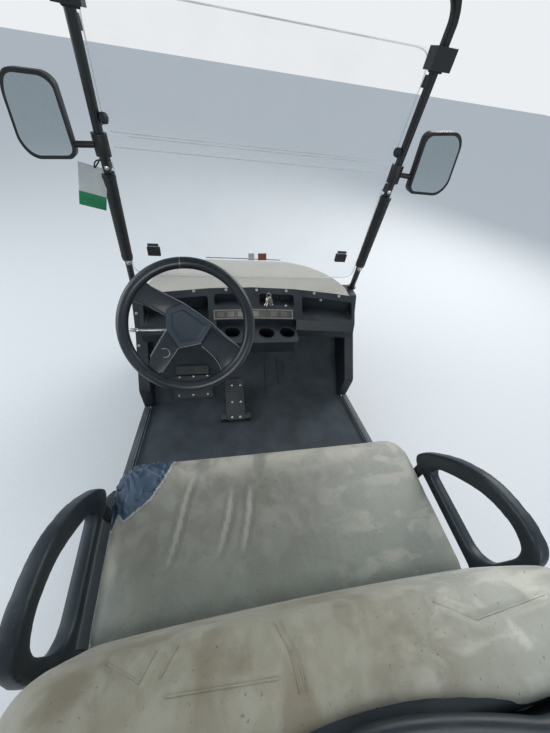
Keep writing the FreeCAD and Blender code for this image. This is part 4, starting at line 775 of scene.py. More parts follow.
SEAT_VINYL = Vinyl(
    "seat_vinyl", (0.278, 0.276, 0.240), (0.52, 0.50, 0.43), (0.186, 0.186, 0.158), (0.37, 0.38, 0.345)
)
BACK_VINYL = Vinyl(
    "back_vinyl", (0.355, 0.338, 0.262), (0.60, 0.59, 0.51), (0.215, 0.192, 0.140), (0.47, 0.46, 0.39),
    ("Z", 1.06, 1.12), 0.60, 0.85, 0.70, painted_sky_share=0.0, painted_fold_shading=0.0,
)
SHELL_PLASTIC = Moulded("shell_plastic", (0.013, 0.020, 0.027), (0.075, 0.098, 0.112), 0.35, 0.40)
LOOP_PLASTIC = Moulded(
    "loop_plastic", (0.012, 0.019, 0.026), (0.11, 0.155, 0.185), 0.30, 0.38, 0.00018, 0.0022
)
TAPE_FACE = Tape("tape_face", (0.044, 0.080, 0.130))
TAPE_EDGE = Moulded("tape_edge", (0.62, 0.64, 0.64), rough=0.7)
STRUT_PAINT = Painted("strut_paint", (0.010, 0.012, 0.014), rough=0.38, coat=0.25, chipped=0.3)
SLEEVE_FOAM = Moulded("sleeve_foam", (0.012, 0.014, 0.016), rough=0.6, grain=0.0003, grain_size=0.002)
ROOF_PLASTIC = Painted("roof_plastic", (0.66, 0.63, 0.56), rough=0.45, coat=0.2, grimy=0.2)
SCREEN_CLEAR = Clear("screen_clear", (0.80, 0.86, 0.90))
SCREEN_EDGE = Clear("screen_edge", (0.82, 0.88, 0.92), haze=0.60, scratched=0.6)
SCREEN_LINE = Clear("screen_line", (0.90, 0.93, 0.95), haze=0.95, scratched=0.9)
CLIP_RUBBER = Moulded("clip_rubber", (0.014, 0.016, 0.018), (0.10, 0.11, 0.12), 0.5, 0.6)
WHEEL_GRIP = Moulded(
    "wheel_grip", (0.012, 0.018, 0.026), (0.085, 0.115, 0.145), 0.25, 0.30, 0.00006, 0.003, coat=0.25
)
WHEEL_PAD = Moulded("wheel_pad", (0.016, 0.026, 0.040), (0.105, 0.140, 0.175), 0.45, 0.44, 0.0002, 0.002)
EDGE_WEAR = Metal("edge_wear", (0.40, 0.42, 0.43), 0.40, tarnished=0.6)
PEDAL_METAL = Moulded("pedal_metal", (0.030, 0.035, 0.040), (0.14, 0.15, 0.16), 0.7, 0.6, scuffed=0.9)
MIRROR_CASE = Moulded("mirror_case", (0.011, 0.012, 0.013), rough=0.42)
MIRROR_FACE = Glass("mirror_face", (0.82, 0.86, 0.86))
LAMP_CLEAR = Glass("lamp_clear", (0.72, 0.74, 0.75), 0.35, 0.06, 0.010)
LAMP_RED = Glass("lamp_red", (0.42, 0.010, 0.010), 0.0, 0.12, 0.008)
TAG_WHITE = Moulded("tag_white", (0.72, 0.76, 0.76), (0.45, 0.46, 0.45), 0.3, 0.5, 0.00003)
TAG_GREEN = Moulded("tag_green", (0.010, 0.26, 0.10), (0.2, 0.3, 0.22), 0.2, 0.5, 0.00003)
PLATE_WHITE = Moulded("plate_white", (0.66, 0.67, 0.66), (0.40, 0.40, 0.38), 0.4, 0.5, 0.00003)
PLATE_BROWN = Moulded("plate_brown", (0.075, 0.072, 0.062), (0.22, 0.21, 0.19), 0.6, 0.4, 0.00003)
PLATE_ORANGE = Moulded("plate_orange", (0.30, 0.085, 0.030), (0.24, 0.2, 0.18), 0.5, 0.5, 0.00003)
STRAP_WEB = Moulded("strap_web", (0.013, 0.013, 0.014), rough=0.85, grain=0.0004, grain_size=0.0022)
SCREW_WHITE = Moulded("screw_white", (0.66, 0.67, 0.64), (0.35, 0.35, 0.33), 0.3, 0.4, 0.00003)
RIVET_BRIGHT = Metal("rivet_bright", (0.86, 0.87, 0.87), 0.24, tarnished=0.1)
FRAME_BRIGHT = Metal("frame_bright", (0.42, 0.42, 0.40), 0.36, tarnished=0.6)
PLATE_BLANK = Moulded("plate_blank", (0.115, 0.112, 0.100), (0.40, 0.39, 0.36), 0.7, 0.35, 0.00003)
FOB_LEATHER = Moulded("fob_leather", (0.13, 0.105, 0.06), (0.25, 0.22, 0.17), 0.4, 0.55)
BOARD_PLASTIC = Moulded("board_plastic", (0.02, 0.021, 0.022), rough=0.6)


class Survey:
    """Finds places on surfaces, so that small parts sit on what carries them."""

    trees: dict[str, BVHTree] = {}

    @classmethod
    def tree(cls, thing: Thing) -> BVHTree:
        """Returns the search tree of a piece's faces."""
        if thing.name not in cls.trees:
            corners = [vertex.co.copy() for vertex in thing.data.vertices]
            faces = [tuple(face.vertices) for face in thing.data.polygons]
            cls.trees[thing.name] = BVHTree.FromPolygons(corners, faces)
        return cls.trees[thing.name]

    @classmethod
    def cast(cls, thing: Thing | str, start: Point, heading: Point) -> tuple[Vector, Vector] | None:
        """Follows a line to a surface.

        Args:
            thing: a piece, or the name of a CAD node.
            start: where the line starts.
            heading: its direction.

        Returns:
            The place and the surface's normal towards the start, or None if the line misses.
        """
        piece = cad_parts[thing] if isinstance(thing, str) else thing
        heading = Vector(heading).normalized()
        place, normal, _face, _far = cls.tree(piece).ray_cast(Vector(start), heading)
        if place is None:
            return None
        return place, -normal if normal.dot(heading) > 0 else normal

    @classmethod
    def sheet(
        cls, name: str, node: str, columns: int, rows: int, lift: float, thick: float,
        aim: Callable[[float, float], tuple[Point, Point]],
    ) -> Thing:
        """Lays a thin sheet on a CAD node, which it follows.

        Args:
            name: the sheet's name.
            node: what carries it.
            columns: faces along u.
            rows: faces along v.
            lift: how far its middle stands off the surface.
            thick: its thickness.
            aim: the start and heading of the line that finds the point (u, v).

        Returns:
            The sheet.
        """
        def shape(u: float, v: float) -> Point:
            """Returns the place of a point of the sheet."""
            start, heading = aim(u, v)
            found = cls.cast(node, start, heading)
            if found is None:
                raise ValueError(f"{name} misses {node}")
            return found[0] + found[1] * lift

        sheet = Bench.form(name, columns, rows, shape)
        Bench.modify(sheet, "SOLIDIFY", thickness=thick, offset=0.0)
        return sheet


@dataclass
class Studio:
    """The pale floor, the soft light, and the camera where the photographer stood."""

    eye: Point = (-0.19157, -0.63180, 1.63446)
    yaw: float = 0.293707
    pitch: float = 0.817300
    roll: float = -0.176774
    focal: float = 295.246
    wide: float = 550.0
    tall: float = 733.0
    sensor: float = 36.0
    floor_half: float = 40.0

    def axes(self) -> tuple[Vector, Vector, Vector]:
        """Returns the picture's right, its up, and the direction of the view."""
        ahead = Vector((math.sin(self.yaw) * math.cos(self.pitch), math.cos(self.yaw) * math.cos(self.pitch),
                        -math.sin(self.pitch)))
        level = Vector((math.cos(self.yaw), -math.sin(self.yaw), 0))
        rise = level.cross(ahead)
        right = level * math.cos(self.roll) - rise * math.sin(self.roll)
        up = level * math.sin(self.roll) + rise * math.cos(self.roll)
        return right, up, ahead

    def ray(self, x: float, y: float) -> Vector:
        """Returns the direction of sight through a point of the picture, counted from its top left."""
        right, up, ahead = self.axes()
        aside = (x - self.wide / 2) / self.focal
        above = (self.tall / 2 - y) / self.focal
        return (ahead + right * aside + up * above).normalized()

    def land(self, thing: Thing | str, x: float, y: float) -> tuple[Vector, Vector] | None:
        """Returns the place and normal on a piece or node that shows at a point of the picture."""
        return Survey.cast(thing, self.eye, self.ray(x, y))

    def camera(self) -> None:
        """Makes the camera at the photograph's place and angle."""
        data = bpy.data.cameras.new("camera")
        data.sensor_width = self.sensor
        data.lens = self.sensor * self.focal / self.tall
        data.clip_start = 0.02
        data.clip_end = 200
        thing = bpy.data.objects.new("camera", data)
        bpy.context.scene.collection.objects.link(thing)
        right, up, ahead = self.axes()
        turn = Matrix((right, up, -ahead)).transposed().to_4x4()
        thing.matrix_world = Matrix.Translation(Vector(self.eye)) @ turn
        bpy.context.scene.camera = thing

    def floor(self) -> None:
        """Makes the pale floor."""
        Bench.take()
        bpy.ops.mesh.primitive_plane_add(size=2 * self.floor_half)
        floor = bpy.context.object
        floor.name = "studio_floor"
        graph = Graph("studio_floor")
        tone = graph.mix(graph.noise(0.02, 3), (0.63, 0.65, 0.67), (0.69, 0.71, 0.73))
        seen = graph.add("LightPath", {}).outputs["Is Camera Ray"]
        graph.shade(Base_Color=tone, Roughness=0.85, Emission_Color=(0.90, 0.95, 1.0))
        graph.shade(Emission_Strength=graph.sums("MULTIPLY", seen, 0.17))
        floor.data.materials.append(graph.material)

    def sky(self) -> None:
        """Makes the pale surroundings: soft light, and a white background where it is seen."""
        world = bpy.data.worlds.new("studio")
        world.use_nodes = True
        bpy.context.scene.world = world
        nodes, links = world.node_tree.nodes, world.node_tree.links
        seen = nodes.new("ShaderNodeLightPath")
        shine = nodes.new("ShaderNodeMath")
        shine.operation = "MAXIMUM"
        links.new(seen.outputs["Is Camera Ray"], shine.inputs[0])
        links.new(seen.outputs["Is Transmission Ray"], shine.inputs[1])
        level = nodes.new("ShaderNodeMapRange")
        level.inputs["To Min"].default_value = 0.46
        level.inputs["To Max"].default_value = 0.88
        links.new(shine.outputs[0], level.inputs["Value"])
        tint = nodes.new("ShaderNodeMix")
        tint.data_type = "RGBA"
        tint.inputs[6].default_value = (0.80, 0.91, 1.0, 1.0)
        tint.inputs[7].default_value = (0.95, 0.98, 1.0, 1.0)
        links.new(shine.outputs[0], tint.inputs[0])
        back = nodes["Background"]
        links.new(tint.outputs[2], back.inputs["Color"])
        links.new(level.outputs[0], back.inputs["Strength"])

    def lamp(self, name: str, place: Point, target: Point, size: float, power: float, tint: Colour) -> None:
        """Adds a soft square lamp that faces a target."""
        data = bpy.data.lights.new(name, "AREA")
        data.size = size
        data.energy = power
        data.color = tint
        thing = bpy.data.objects.new(name, data)
        bpy.context.scene.collection.objects.link(thing)
        thing.location = place
        thing.rotation_euler = (Vector(target) - Vector(place)).to_track_quat("-Z", "Y").to_euler()

    def build(self) -> None:
        """Sets the studio up."""
        bpy.context.scene.view_settings.view_transform = "Standard"
        self.camera()
        self.floor()
        self.sky()
        self.lamp("key", (3.2, 2.6, 3.4), (0, -0.1, 0.7), 3.0, 125, (1.0, 0.98, 0.95))
        self.lamp("fill", (-3.6, 0.6, 2.6), (0, 0, 0.7), 3.0, 60, (0.93, 0.97, 1.0))
        self.lamp("back", (0.6, -3.8, 2.4), (0, -0.4, 0.8), 2.4, 50, (1.0, 1.0, 1.0))
        log.info("studio with the camera at %s", self.eye)


STUDIO = Studio()


@dataclass(frozen=True)
class Outline:
    """A rounded rectangle whose low and high sides have their own corner radii."""

    half: float
    low: float
    high: float
    low_round: float
    high_round: float

    def at(self, share: float, inset: float = 0.0) -> tuple[float, float]:
        """Walks round the outline.

        Args:
            share: how far round, from 0 to 1, from the middle of the low side, anticlockwise.
            inset: how far inside the outline.

        Returns:
            The point.
        """
        half, low, high = self.half - inset, self.low + inset, self.high - inset
        small = max(self.low_round - inset, 1e-6)
        large = max(self.high_round - inset, 1e-6)
        runs = (
            half - small, small * math.pi / 2, high - low - small - large, large * math.pi / 2, half - large
        )
        turned = share > 0.5
        left = (1 - share if turned else share) * 2 * sum(runs)
        sign = -1 if turned else 1
        if left <= runs[0]:
            return sign * left, low
        left -= runs[0]
        if left <= runs[1]:
            turn = left / small
            return sign * (half - small + small * math.sin(turn)), low + small - small * math.cos(turn)
        left -= runs[1]
        if left <= runs[2]:
            return sign * half, low + small + left
        left -= runs[2]
        if left <= runs[3]:
            turn = left / large
            return sign * (half - large + large * math.cos(turn)), high - large + large * math.sin(turn)
        return sign * max(half - large - (left - runs[3]), 0.0), high


@dataclass(frozen=True)
class Pad:
    """A closed cushion: rings that follow an outline, each with its inset and its depth."""

    outline: Outline
    rows: tuple[tuple[float, float], ...]
    columns: int = 120

    def build(self, name: str, place: Callable[[float, float, float], Point]) -> Thing:
        """Builds the cushion.

        Args:
            name: the piece's name.
            place: carries the outline's two numbers and the depth into space.

        Returns:
            The piece.
        """
        last = len(self.rows) - 1

        def shape(u: float, v: float) -> Point:
            """Returns the place of a point of the cushion's skin."""
            inset, depth = self.rows[round(v * last)]
            across, along = self.outline.at(u, inset)
            return place(across, along, depth)

        return Bench.form(name, self.columns, last, shape)


class Upholstery:
    """Steps that turn a closed form into a stuffed and stitched cushion."""

    @staticmethod
    def swell(thing: Thing, voxel: float, cap: float, pressure: float = 4.0, frames: int = 20) -> Thing:
        """Blows a closed form up like foam under vinyl.

        Args:
            thing: the form, made a little small.
            voxel: the new mesh's face size.
            cap: how far a point may move.
            pressure: the cloth's inside pressure.
            frames: steps of the simulation.

        Returns:
            The piece.
        """
        Bench.modify(thing, "REMESH", mode="VOXEL", voxel_size=voxel)
        Bench.modify(thing, "SMOOTH", factor=0.6, iterations=8)
        rest = [vertex.co.copy() for vertex in thing.data.vertices]
        cloth = thing.modifiers.new("Cloth", "CLOTH")
        cloth.settings.use_pressure = True
        cloth.settings.uniform_pressure_force = pressure
        cloth.settings.effector_weights.gravity = 0
        cloth.settings.quality = 4
        cloth.settings.tension_stiffness = 12
        cloth.settings.bending_stiffness = 6
        cloth.point_cache.frame_end = frames
        for number in range(1, frames + 1):
            bpy.context.scene.frame_set(number)
        Bench.take(thing)
        bpy.ops.object.modifier_apply(modifier=cloth.name)
        bpy.context.scene.frame_set(1)
        for vertex, start in zip(thing.data.vertices, rest):
            move = vertex.co - start
            if move.length > cap:
                vertex.co = start + move * (cap / move.length)
        return Bench.modify(thing, "SMOOTH", factor=0.5, iterations=3)

    @staticmethod
    def press(
        thing: Thing, lines: Sequence[Sequence[Point]], width: float, depth: float, lip: float,
        fade: float = 0.0,
    ) -> None:
        """Sinks sewn channels into a cushion, or raises folds on it.

        Args:
            thing: the cushion.
            lines: the runs, as points above the surface.
            width: how wide the line is.
            depth: how deep it is sunk; less than nothing raises it.
            lip: how far the vinyl stands up beside it.
            fade: how gently the line starts and ends.
        """
        thing.data.update()
        runs = []
        for line in lines:
            found = [Survey.cast(thing, Vector(point) + Vector((0, 0, 0.15)), (0, 0, -1)) for point in line]
            laid = [place[0] for place in found if place]
            for index, (start, end) in enumerate(zip(laid, laid[1:])):
                runs.append((start, end, index / (len(laid) - 1), 1 / (len(laid) - 1)))
        Survey.trees.pop(thing.name, None)
        for vertex in thing.data.vertices:
            near, along = 1.0, 0.5
            for start, end, first, step in runs:
                share = min(1.0, max(0.0, intersect_point_line(vertex.co, start, end)[1]))
                gap = (vertex.co - start.lerp(end, share)).length
                if gap < near:
                    near, along = gap, first + step * share
            if near < 4 * width:
                full = max(0.0, math.sin(math.pi * along)) ** fade if fade else 1.0
                sink = depth * math.exp(-((near / width) ** 2))
                rise = lip * math.exp(-(((near - 1.9 * width) / width) ** 2))
                vertex.co += vertex.normal * (rise - sink) * full

    @staticmethod
    def lay(thing: Thing, line: Sequence[Point], lift: float, heading: Point) -> list[Vector]:
        """Drops a run of points on a cushion.

        Args:
            thing: the cushion.
            line: the run's corners.
            lift: how far it stands off the surface.
            heading: the direction in which the points drop.

        Returns:
            Closely spaced points on the surface.
        """
        laid = []
        for start, end in zip(line, line[1:]):
            steps = max(2, int((Vector(end) - Vector(start)).length / 0.008))
            for step in range(steps + 1):
                point = Vector(start).lerp(Vector(end), step / steps) - Vector(heading) * 0.15
                found = Survey.cast(thing, point, heading)
                if found:
                    laid.append(found[0] + found[1] * lift)
        return laid


@dataclass
class Seat:
    """The bench cushion on its hinged board, worn and patched."""

    half: float = 0.5125
    front: float = -0.155
    rear: float = -0.614
    low: float = 0.5815
    high: float = 0.684
    front_round: float = 0.080
    rear_round: float = 0.030
    voxel: float = 0.008
    cap: float = 0.007
    folds = (
        ((-0.338, -0.485, 0.69), (-0.316, -0.409, 0.69), (-0.293, -0.305, 0.69), (-0.265, -0.216, 0.69)),
        ((-0.205, -0.472, 0.69), (-0.173, -0.377, 0.69), (-0.156, -0.292, 0.69)),
        ((-0.140, -0.478, 0.69), (-0.112, -0.372, 0.69), (-0.100, -0.285, 0.69)),
    )
    patch = (
        (-0.458, -0.140), (-0.337, -0.146), (-0.348, -0.206), (-0.366, -0.242), (-0.396, -0.292),
        (-0.423, -0.314), (-0.461, -0.341), (-0.486, -0.319), (-0.509, -0.360), (-0.517, -0.356),
        (-0.536, -0.237), (-0.524, -0.187), (-0.500, -0.156),
    )
    patch_middle = (-0.437, -0.252)
    patch_size = (0.23, 0.25)
    patch_cells: int = 84
    patch_inward = (-0.40, -0.27)

    def cushion(self) -> Thing:
        """Builds the padded cushion, its folds and its seams."""
        outline = Outline(self.half, self.rear, self.front, self.rear_round, self.front_round)
        low, high = self.low, self.high
        rows = (
            (0.2295, low), (0.10, low), (0.02, low), (0.006, low + 0.007), (0.0, low + 0.022),
            (-0.003, low + 0.050), (0.0, high - 0.036), (0.006, high - 0.020), (0.017, high - 0.010),
            (0.034, high - 0.004), (0.060, high - 0.001), (0.11, high + 0.001), (0.17, high + 0.002),
            (0.2295, high + 0.002),
        )
        thing = Pad(outline, rows).build("seat_pad", lambda x, y, z: (x, y, z))
        Upholstery.swell(thing, self.voxel, self.cap)
        Bench.modify(thing, "SUBSURF", levels=1, render_levels=1)
        Upholstery.press(thing, self.folds, width=0.0085, depth=-0.0080, lip=-0.0030, fade=0.6)
        Bench.fit(thing, SEAT_VINYL, Body.SEAT, "seat_vinyl", ["seat_cushion"])
        return thing

    def welt(self, cushion: Thing) -> None:
        """Sews the seam round the cushion's lower edge."""
        outline = Outline(self.half + 0.002, self.rear, self.front + 0.002, self.rear_round, self.front_round)
        route = [(*outline.at(step / 64), self.low + 0.020) for step in range(64)]
        seam = Bench.tube("seat_welt", route, 0.0022, closed=True)
        Bench.fit(seam, SEAT_VINYL, Body.SEAT, "seat_vinyl")

    def tape(self, cushion: Thing) -> None:
        """Sticks the wrinkled patch of cloth tape over the left front corner, on its torn pale edge."""
        outline = Outline(self.half, self.rear, self.front, self.rear_round, self.front_round)
        edge = [outline.at(step / 720) for step in range(720)]
        tree = Survey.tree(cushion)

        def wrap(x: float, y: float) -> tuple[Vector, Vector]:
            """Returns the place and normal where a point of the flat patch comes to lie."""
            inside = abs(x) < self.half - 0.004 and y < self.front - 0.004
            if inside and (x > self.front_round - self.half or y < self.front - self.front_round):
                beyond, foot = 0.0, (x, y)
            else:
                foot = min(edge, key=lambda point: (point[0] - x) ** 2 + (point[1] - y) ** 2)
                outward = Vector((foot[0], foot[1])) - Vector(self.patch_inward)
                beyond = max(0.0, (Vector((x, y)) - Vector(foot)).dot(outward.normalized()))
                foot = (x, y) if beyond == 0.0 else foot
            start = Vector((foot[0], foot[1], self.high + 0.01 - 2.2 * beyond))
            place, normal, _face, _far = tree.find_nearest(start)
            return place, normal

        for name, grow, lift, finish in (
            ("tape_torn_edge", 0.0065, 0.0007, TAPE_EDGE), ("tape_patch", 0.0, 0.0016, TAPE_FACE),
        ):
            Bench.take()
            cells = self.patch_cells
            bpy.ops.mesh.primitive_grid_add(x_subdivisions=cells, y_subdivisions=cells, size=1)
            thing = bpy.context.object
            thing.name = name
            kept = set()
            for vertex in thing.data.vertices:
                x = self.patch_middle[0] + vertex.co.x * self.patch_size[0]
                y = self.patch_middle[1] + vertex.co.y * self.patch_size[1]
                ragged = 0.0035 * noise.noise(Vector((x * 110, y * 110, grow * 300)))
                if self.reach(x, y) > -grow - ragged:
                    kept.add(vertex.index)
                place, normal = wrap(x, y)
                crease = noise.noise(Vector((x * 34 + y * 11, y * 17 - x * 6, 3.1)))
                ridge = 0.0042 * max(0.0, 1 - abs(crease) * 5.0) if finish is TAPE_FACE else 0.0
                vertex.co = place + normal * (lift + ridge)
            Bench.pick(thing, [not kept.issuperset(face.vertices) for face in thing.data.polygons])
            bpy.ops.mesh.delete(type="FACE")
            Bench.done()
            Bench.modify(thing, "SOLIDIFY", thickness=0.0005, offset=1.0)
            Bench.fit(thing, finish, Body.SEAT, "seat_vinyl")

    def reach(self, x: float, y: float) -> float:
        """Returns how far inside the patch's outline a point is, below 0 outside."""
        inside, near = False, 1.0
        for (ax, ay), (bx, by) in zip(self.patch, self.patch[1:] + self.patch[:1]):
            if (ay > y) != (by > y) and x < (bx - ax) * (y - ay) / (by - ay) + ax:
                inside = not inside
            closest, share = intersect_point_line(Vector((x, y, 0)), Vector((ax, ay, 0)), Vector((bx, by, 0)))
            closest = Vector((ax, ay, 0)) if share < 0 else Vector((bx, by, 0)) if share > 1 else closest
            near = min(near, (Vector((x, y, 0)) - closest).length)
        return near if inside else -near

    def build(self) -> None:
        """Builds the cushion, its seam and its patch, and dresses the board."""
        cushion = self.cushion()
        self.welt(cushion)
        self.tape(cushion)
        Bench.paint(BOARD_PLASTIC, "seat_board")


@dataclass
class Backrest:
    """The padded backrest in its moulded shell, between the rear struts."""

    half: float = 0.505
    low: float = 0.728
    high: float = 1.030
    face_y: float = -0.592
    lean: float = 0.125
    thick: float = 0.106
    round: float = 0.065
    voxel: float = 0.008
    cap: float = 0.010
    seams = (
        ((-0.366, -0.630, 1.03), (-0.321, -0.653, 1.03), (-0.315, -0.658, 1.03), (-0.298, -0.628, 1.03)),
        ((-0.286, -0.657, 1.03), (-0.266, -0.627, 1.03)),
        ((-0.276, -0.677, 1.03), (-0.119, -0.686, 1.03)),
        ((-0.113, -0.624, 1.03), (-0.096, -0.665, 1.03), (-0.092, -0.705, 1.03)),
        ((-0.104, -0.624, 1.03), (-0.087, -0.665, 1.03), (-0.083, -0.705, 1.03)),
        ((0.170, -0.642, 1.03), (0.228, -0.676, 1.03), (0.383, -0.666, 1.03)),
    )

    def cushion(self) -> Thing:
        """Builds the padded back and its sewn channels."""
        outline = Outline(self.half, self.low, self.high, self.round * 0.7, self.round)
        thick = self.thick
        rows = (
            (0.151, 0.0), (0.09, 0.001), (0.050, 0.003), (0.024, 0.008), (0.009, 0.018),
            (0.0, 0.034), (-0.002, 0.055), (0.0, thick - 0.030), (0.004, thick - 0.012),
            (0.014, thick - 0.002), (0.05, thick), (0.151, thick),
        )

        def place(x: float, z: float, depth: float) -> Point:
            """Leans a point of the cushion back."""
            bow = 0.012 * (1 - (x / self.half) ** 2)
            share = depth / self.thick
            fuller = self.fuller(x) * share * min(1.0, max(0.0, (z - self.low) / 0.26))
            return x, self.face_y - self.lean * (z - self.low) - depth - 0.008 + bow * (1 - share) - fuller, z

        thing = Pad(outline, rows).build("backrest_pad", place)
        Upholstery.swell(thing, self.voxel, self.cap)
        Bench.modify(thing, "SUBSURF", levels=1, render_levels=1)
        Upholstery.press(thing, self.seams, width=0.0065, depth=0.0026, lip=0.0020)
        Bench.fit(thing, BACK_VINYL, Body.CHASSIS, "seat_vinyl", ["backrest_cushion"])
        return thing

    def cords(self, cushion: Thing) -> None:
        """Sews the thin raised cords across the top of the backrest."""
        cords = []
        for seam in self.seams:
            laid = Upholstery.lay(cushion, seam, 0.0002, (0, 0, -1))
            if len(laid) > 2:
                cords.append(Bench.tube("cord", laid, 0.0014, sides=1))
        Bench.fit(Bench.join("backrest_cords", cords), BACK_VINYL, Body.CHASSIS, "seat_vinyl")

    def fuller(self, x: float) -> float:
        """Returns how much further back the padding reaches along the wavy upper edge."""
        return 0.010 + 0.040 * min(1.0, (x / 0.25) ** 2) ** 0.8 * (
            1 if abs(x) < 0.40 else max(0.0, (0.49 - abs(x)) / 0.09)
        )

    def shell_trim(self) -> None:
        """Adds the shell's rolled upper lip, which rises and falls along the cushion."""
        low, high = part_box("backrest_shell")
        section = (
            (0.004, -0.016, 0.0), (0.0, -0.004, 0.0), (-0.007, 0.001, 0.0), (-0.017, -0.002, 0.0),
            (-0.024, -0.012, 0.0), (-0.0245, -0.030, 0.0), (-0.0245, -0.055, 0.35), (-0.0245, -0.085, 0.80),
            (-0.0245, -0.110, 1.0), (-0.014, -0.112, 0.98), (-0.014, -0.080, 0.60), (-0.012, -0.040, 0.0),
        )

        def shape(u: float, v: float) -> Point:
            """Returns a point of the lip's skin."""
            x = (2 * u - 1) * (self.half - 0.022)
            ends = math.sqrt(min(1.0, 16 * u, 16 * (1 - u)))
            edge = self.face_y - self.lean * (self.high - self.low) - self.thick - 0.004 - self.fuller(x)
            turn = round(v * len(section)) % len(section)
            away, up, share = section[turn]
            z = high.z - 0.006 + up * ends
            panel = low.y + 0.128 * (high.z - z) + (0.008 if turn > 8 else -0.0008)
            y = edge + away * ends
            return x, y + (panel - y) * share * ends, z

        panel = Bench.from_node("backrest_shell", "backrest_panel")
        for vertex in panel.data.vertices:
            if vertex.co.z > high.z - 0.06:
                vertex.co.z -= 0.030
        Bench.soften(panel, 0.004, 2, 40)
        Bench.fit(panel, SHELL_PLASTIC, Body.CHASSIS, "dash_plastic", ["backrest_shell"])
        lip = Bench.form("backrest_shell_lip", 64, len(section), shape)
        Bench.modify(lip, "SUBSURF", levels=1, render_levels=1)
        Bench.fit(lip, SHELL_PLASTIC, Body.CHASSIS, "dash_plastic")

    def build(self) -> None:
        """Builds the cushion, its cords and its shell."""
        cushion = self.cushion()
        self.cords(cushion)
        self.shell_trim()


@dataclass
class HipRestraints:
    """The two moulded loops beside the seat, rounded all over."""

    voxel: float = 0.006
    rounds: int = 14

    def build(self) -> None:
        """Melts the CAD loops' edges away and fits them."""
        thing = Bench.from_node("hip_restraints", "hip_loops")
        Bench.modify(thing, "REMESH", mode="VOXEL", voxel_size=self.voxel)
        Bench.modify(thing, "SMOOTH", factor=0.7, iterations=self.rounds)
        Bench.modify(thing, "SUBSURF", levels=1, render_levels=1)
        Bench.fit(thing, LOOP_PLASTIC, Body.CHASSIS, "dash_plastic", ["hip_restraints"])


class Fasteners:
    """Screws, bolts and rivets, each modelled once and set where it is wanted."""

    @staticmethod
    def screw(radius: float) -> Thing:
        """Models a pan-head screw with a driver's recess, standing on the ground plane at the origin."""
        profile = [
            (0, -0.3 * radius), (radius, -0.3 * radius), (radius, 0.16 * radius),
            (0.82 * radius, 0.42 * radius), (0.42 * radius, 0.56 * radius),
            (0.30 * radius, 0.30 * radius), (0, 0.24 * radius),
        ]
        return Bench.lathe("screw", profile, (0, 0, 0), (0, 0, 1), 12)

    @staticmethod
    def bolt(radius: float) -> Thing:
        """Models a hexagon bolt head on its washer, standing on the ground plane at the origin."""
        head = Bench.rod("bolt", (0, 0, 0), (0, 0, 0.75 * radius), radius, 6, 0.10 * radius)
        washer = Bench.rod("washer", (0, 0, -0.05 * radius), (0, 0, 0.18 * radius), 1.35 * radius, 16)
        return Bench.join("bolt", [head, washer])

    @staticmethod
    def set_out(name: str, model: Thing, places: Sequence[tuple[Vector, Vector] | None]) -> Thing:
        """Copies a fastener to places on surfaces.

        Args:
            name: the set's name.
            model: the fastener, which is used up.
            places: each one's place and the direction that its head faces.

        Returns:
            All the copies as one piece.
        """
        copies = []
        for found in places:
            if found:
                turn = found[1].to_track_quat("Z", "Y").to_matrix().to_4x4()
                copies.append(Bench.copy(model, name, Matrix.Translation(found[0]) @ turn))
        bpy.data.objects.remove(model)
        return Bench.join(name, copies)


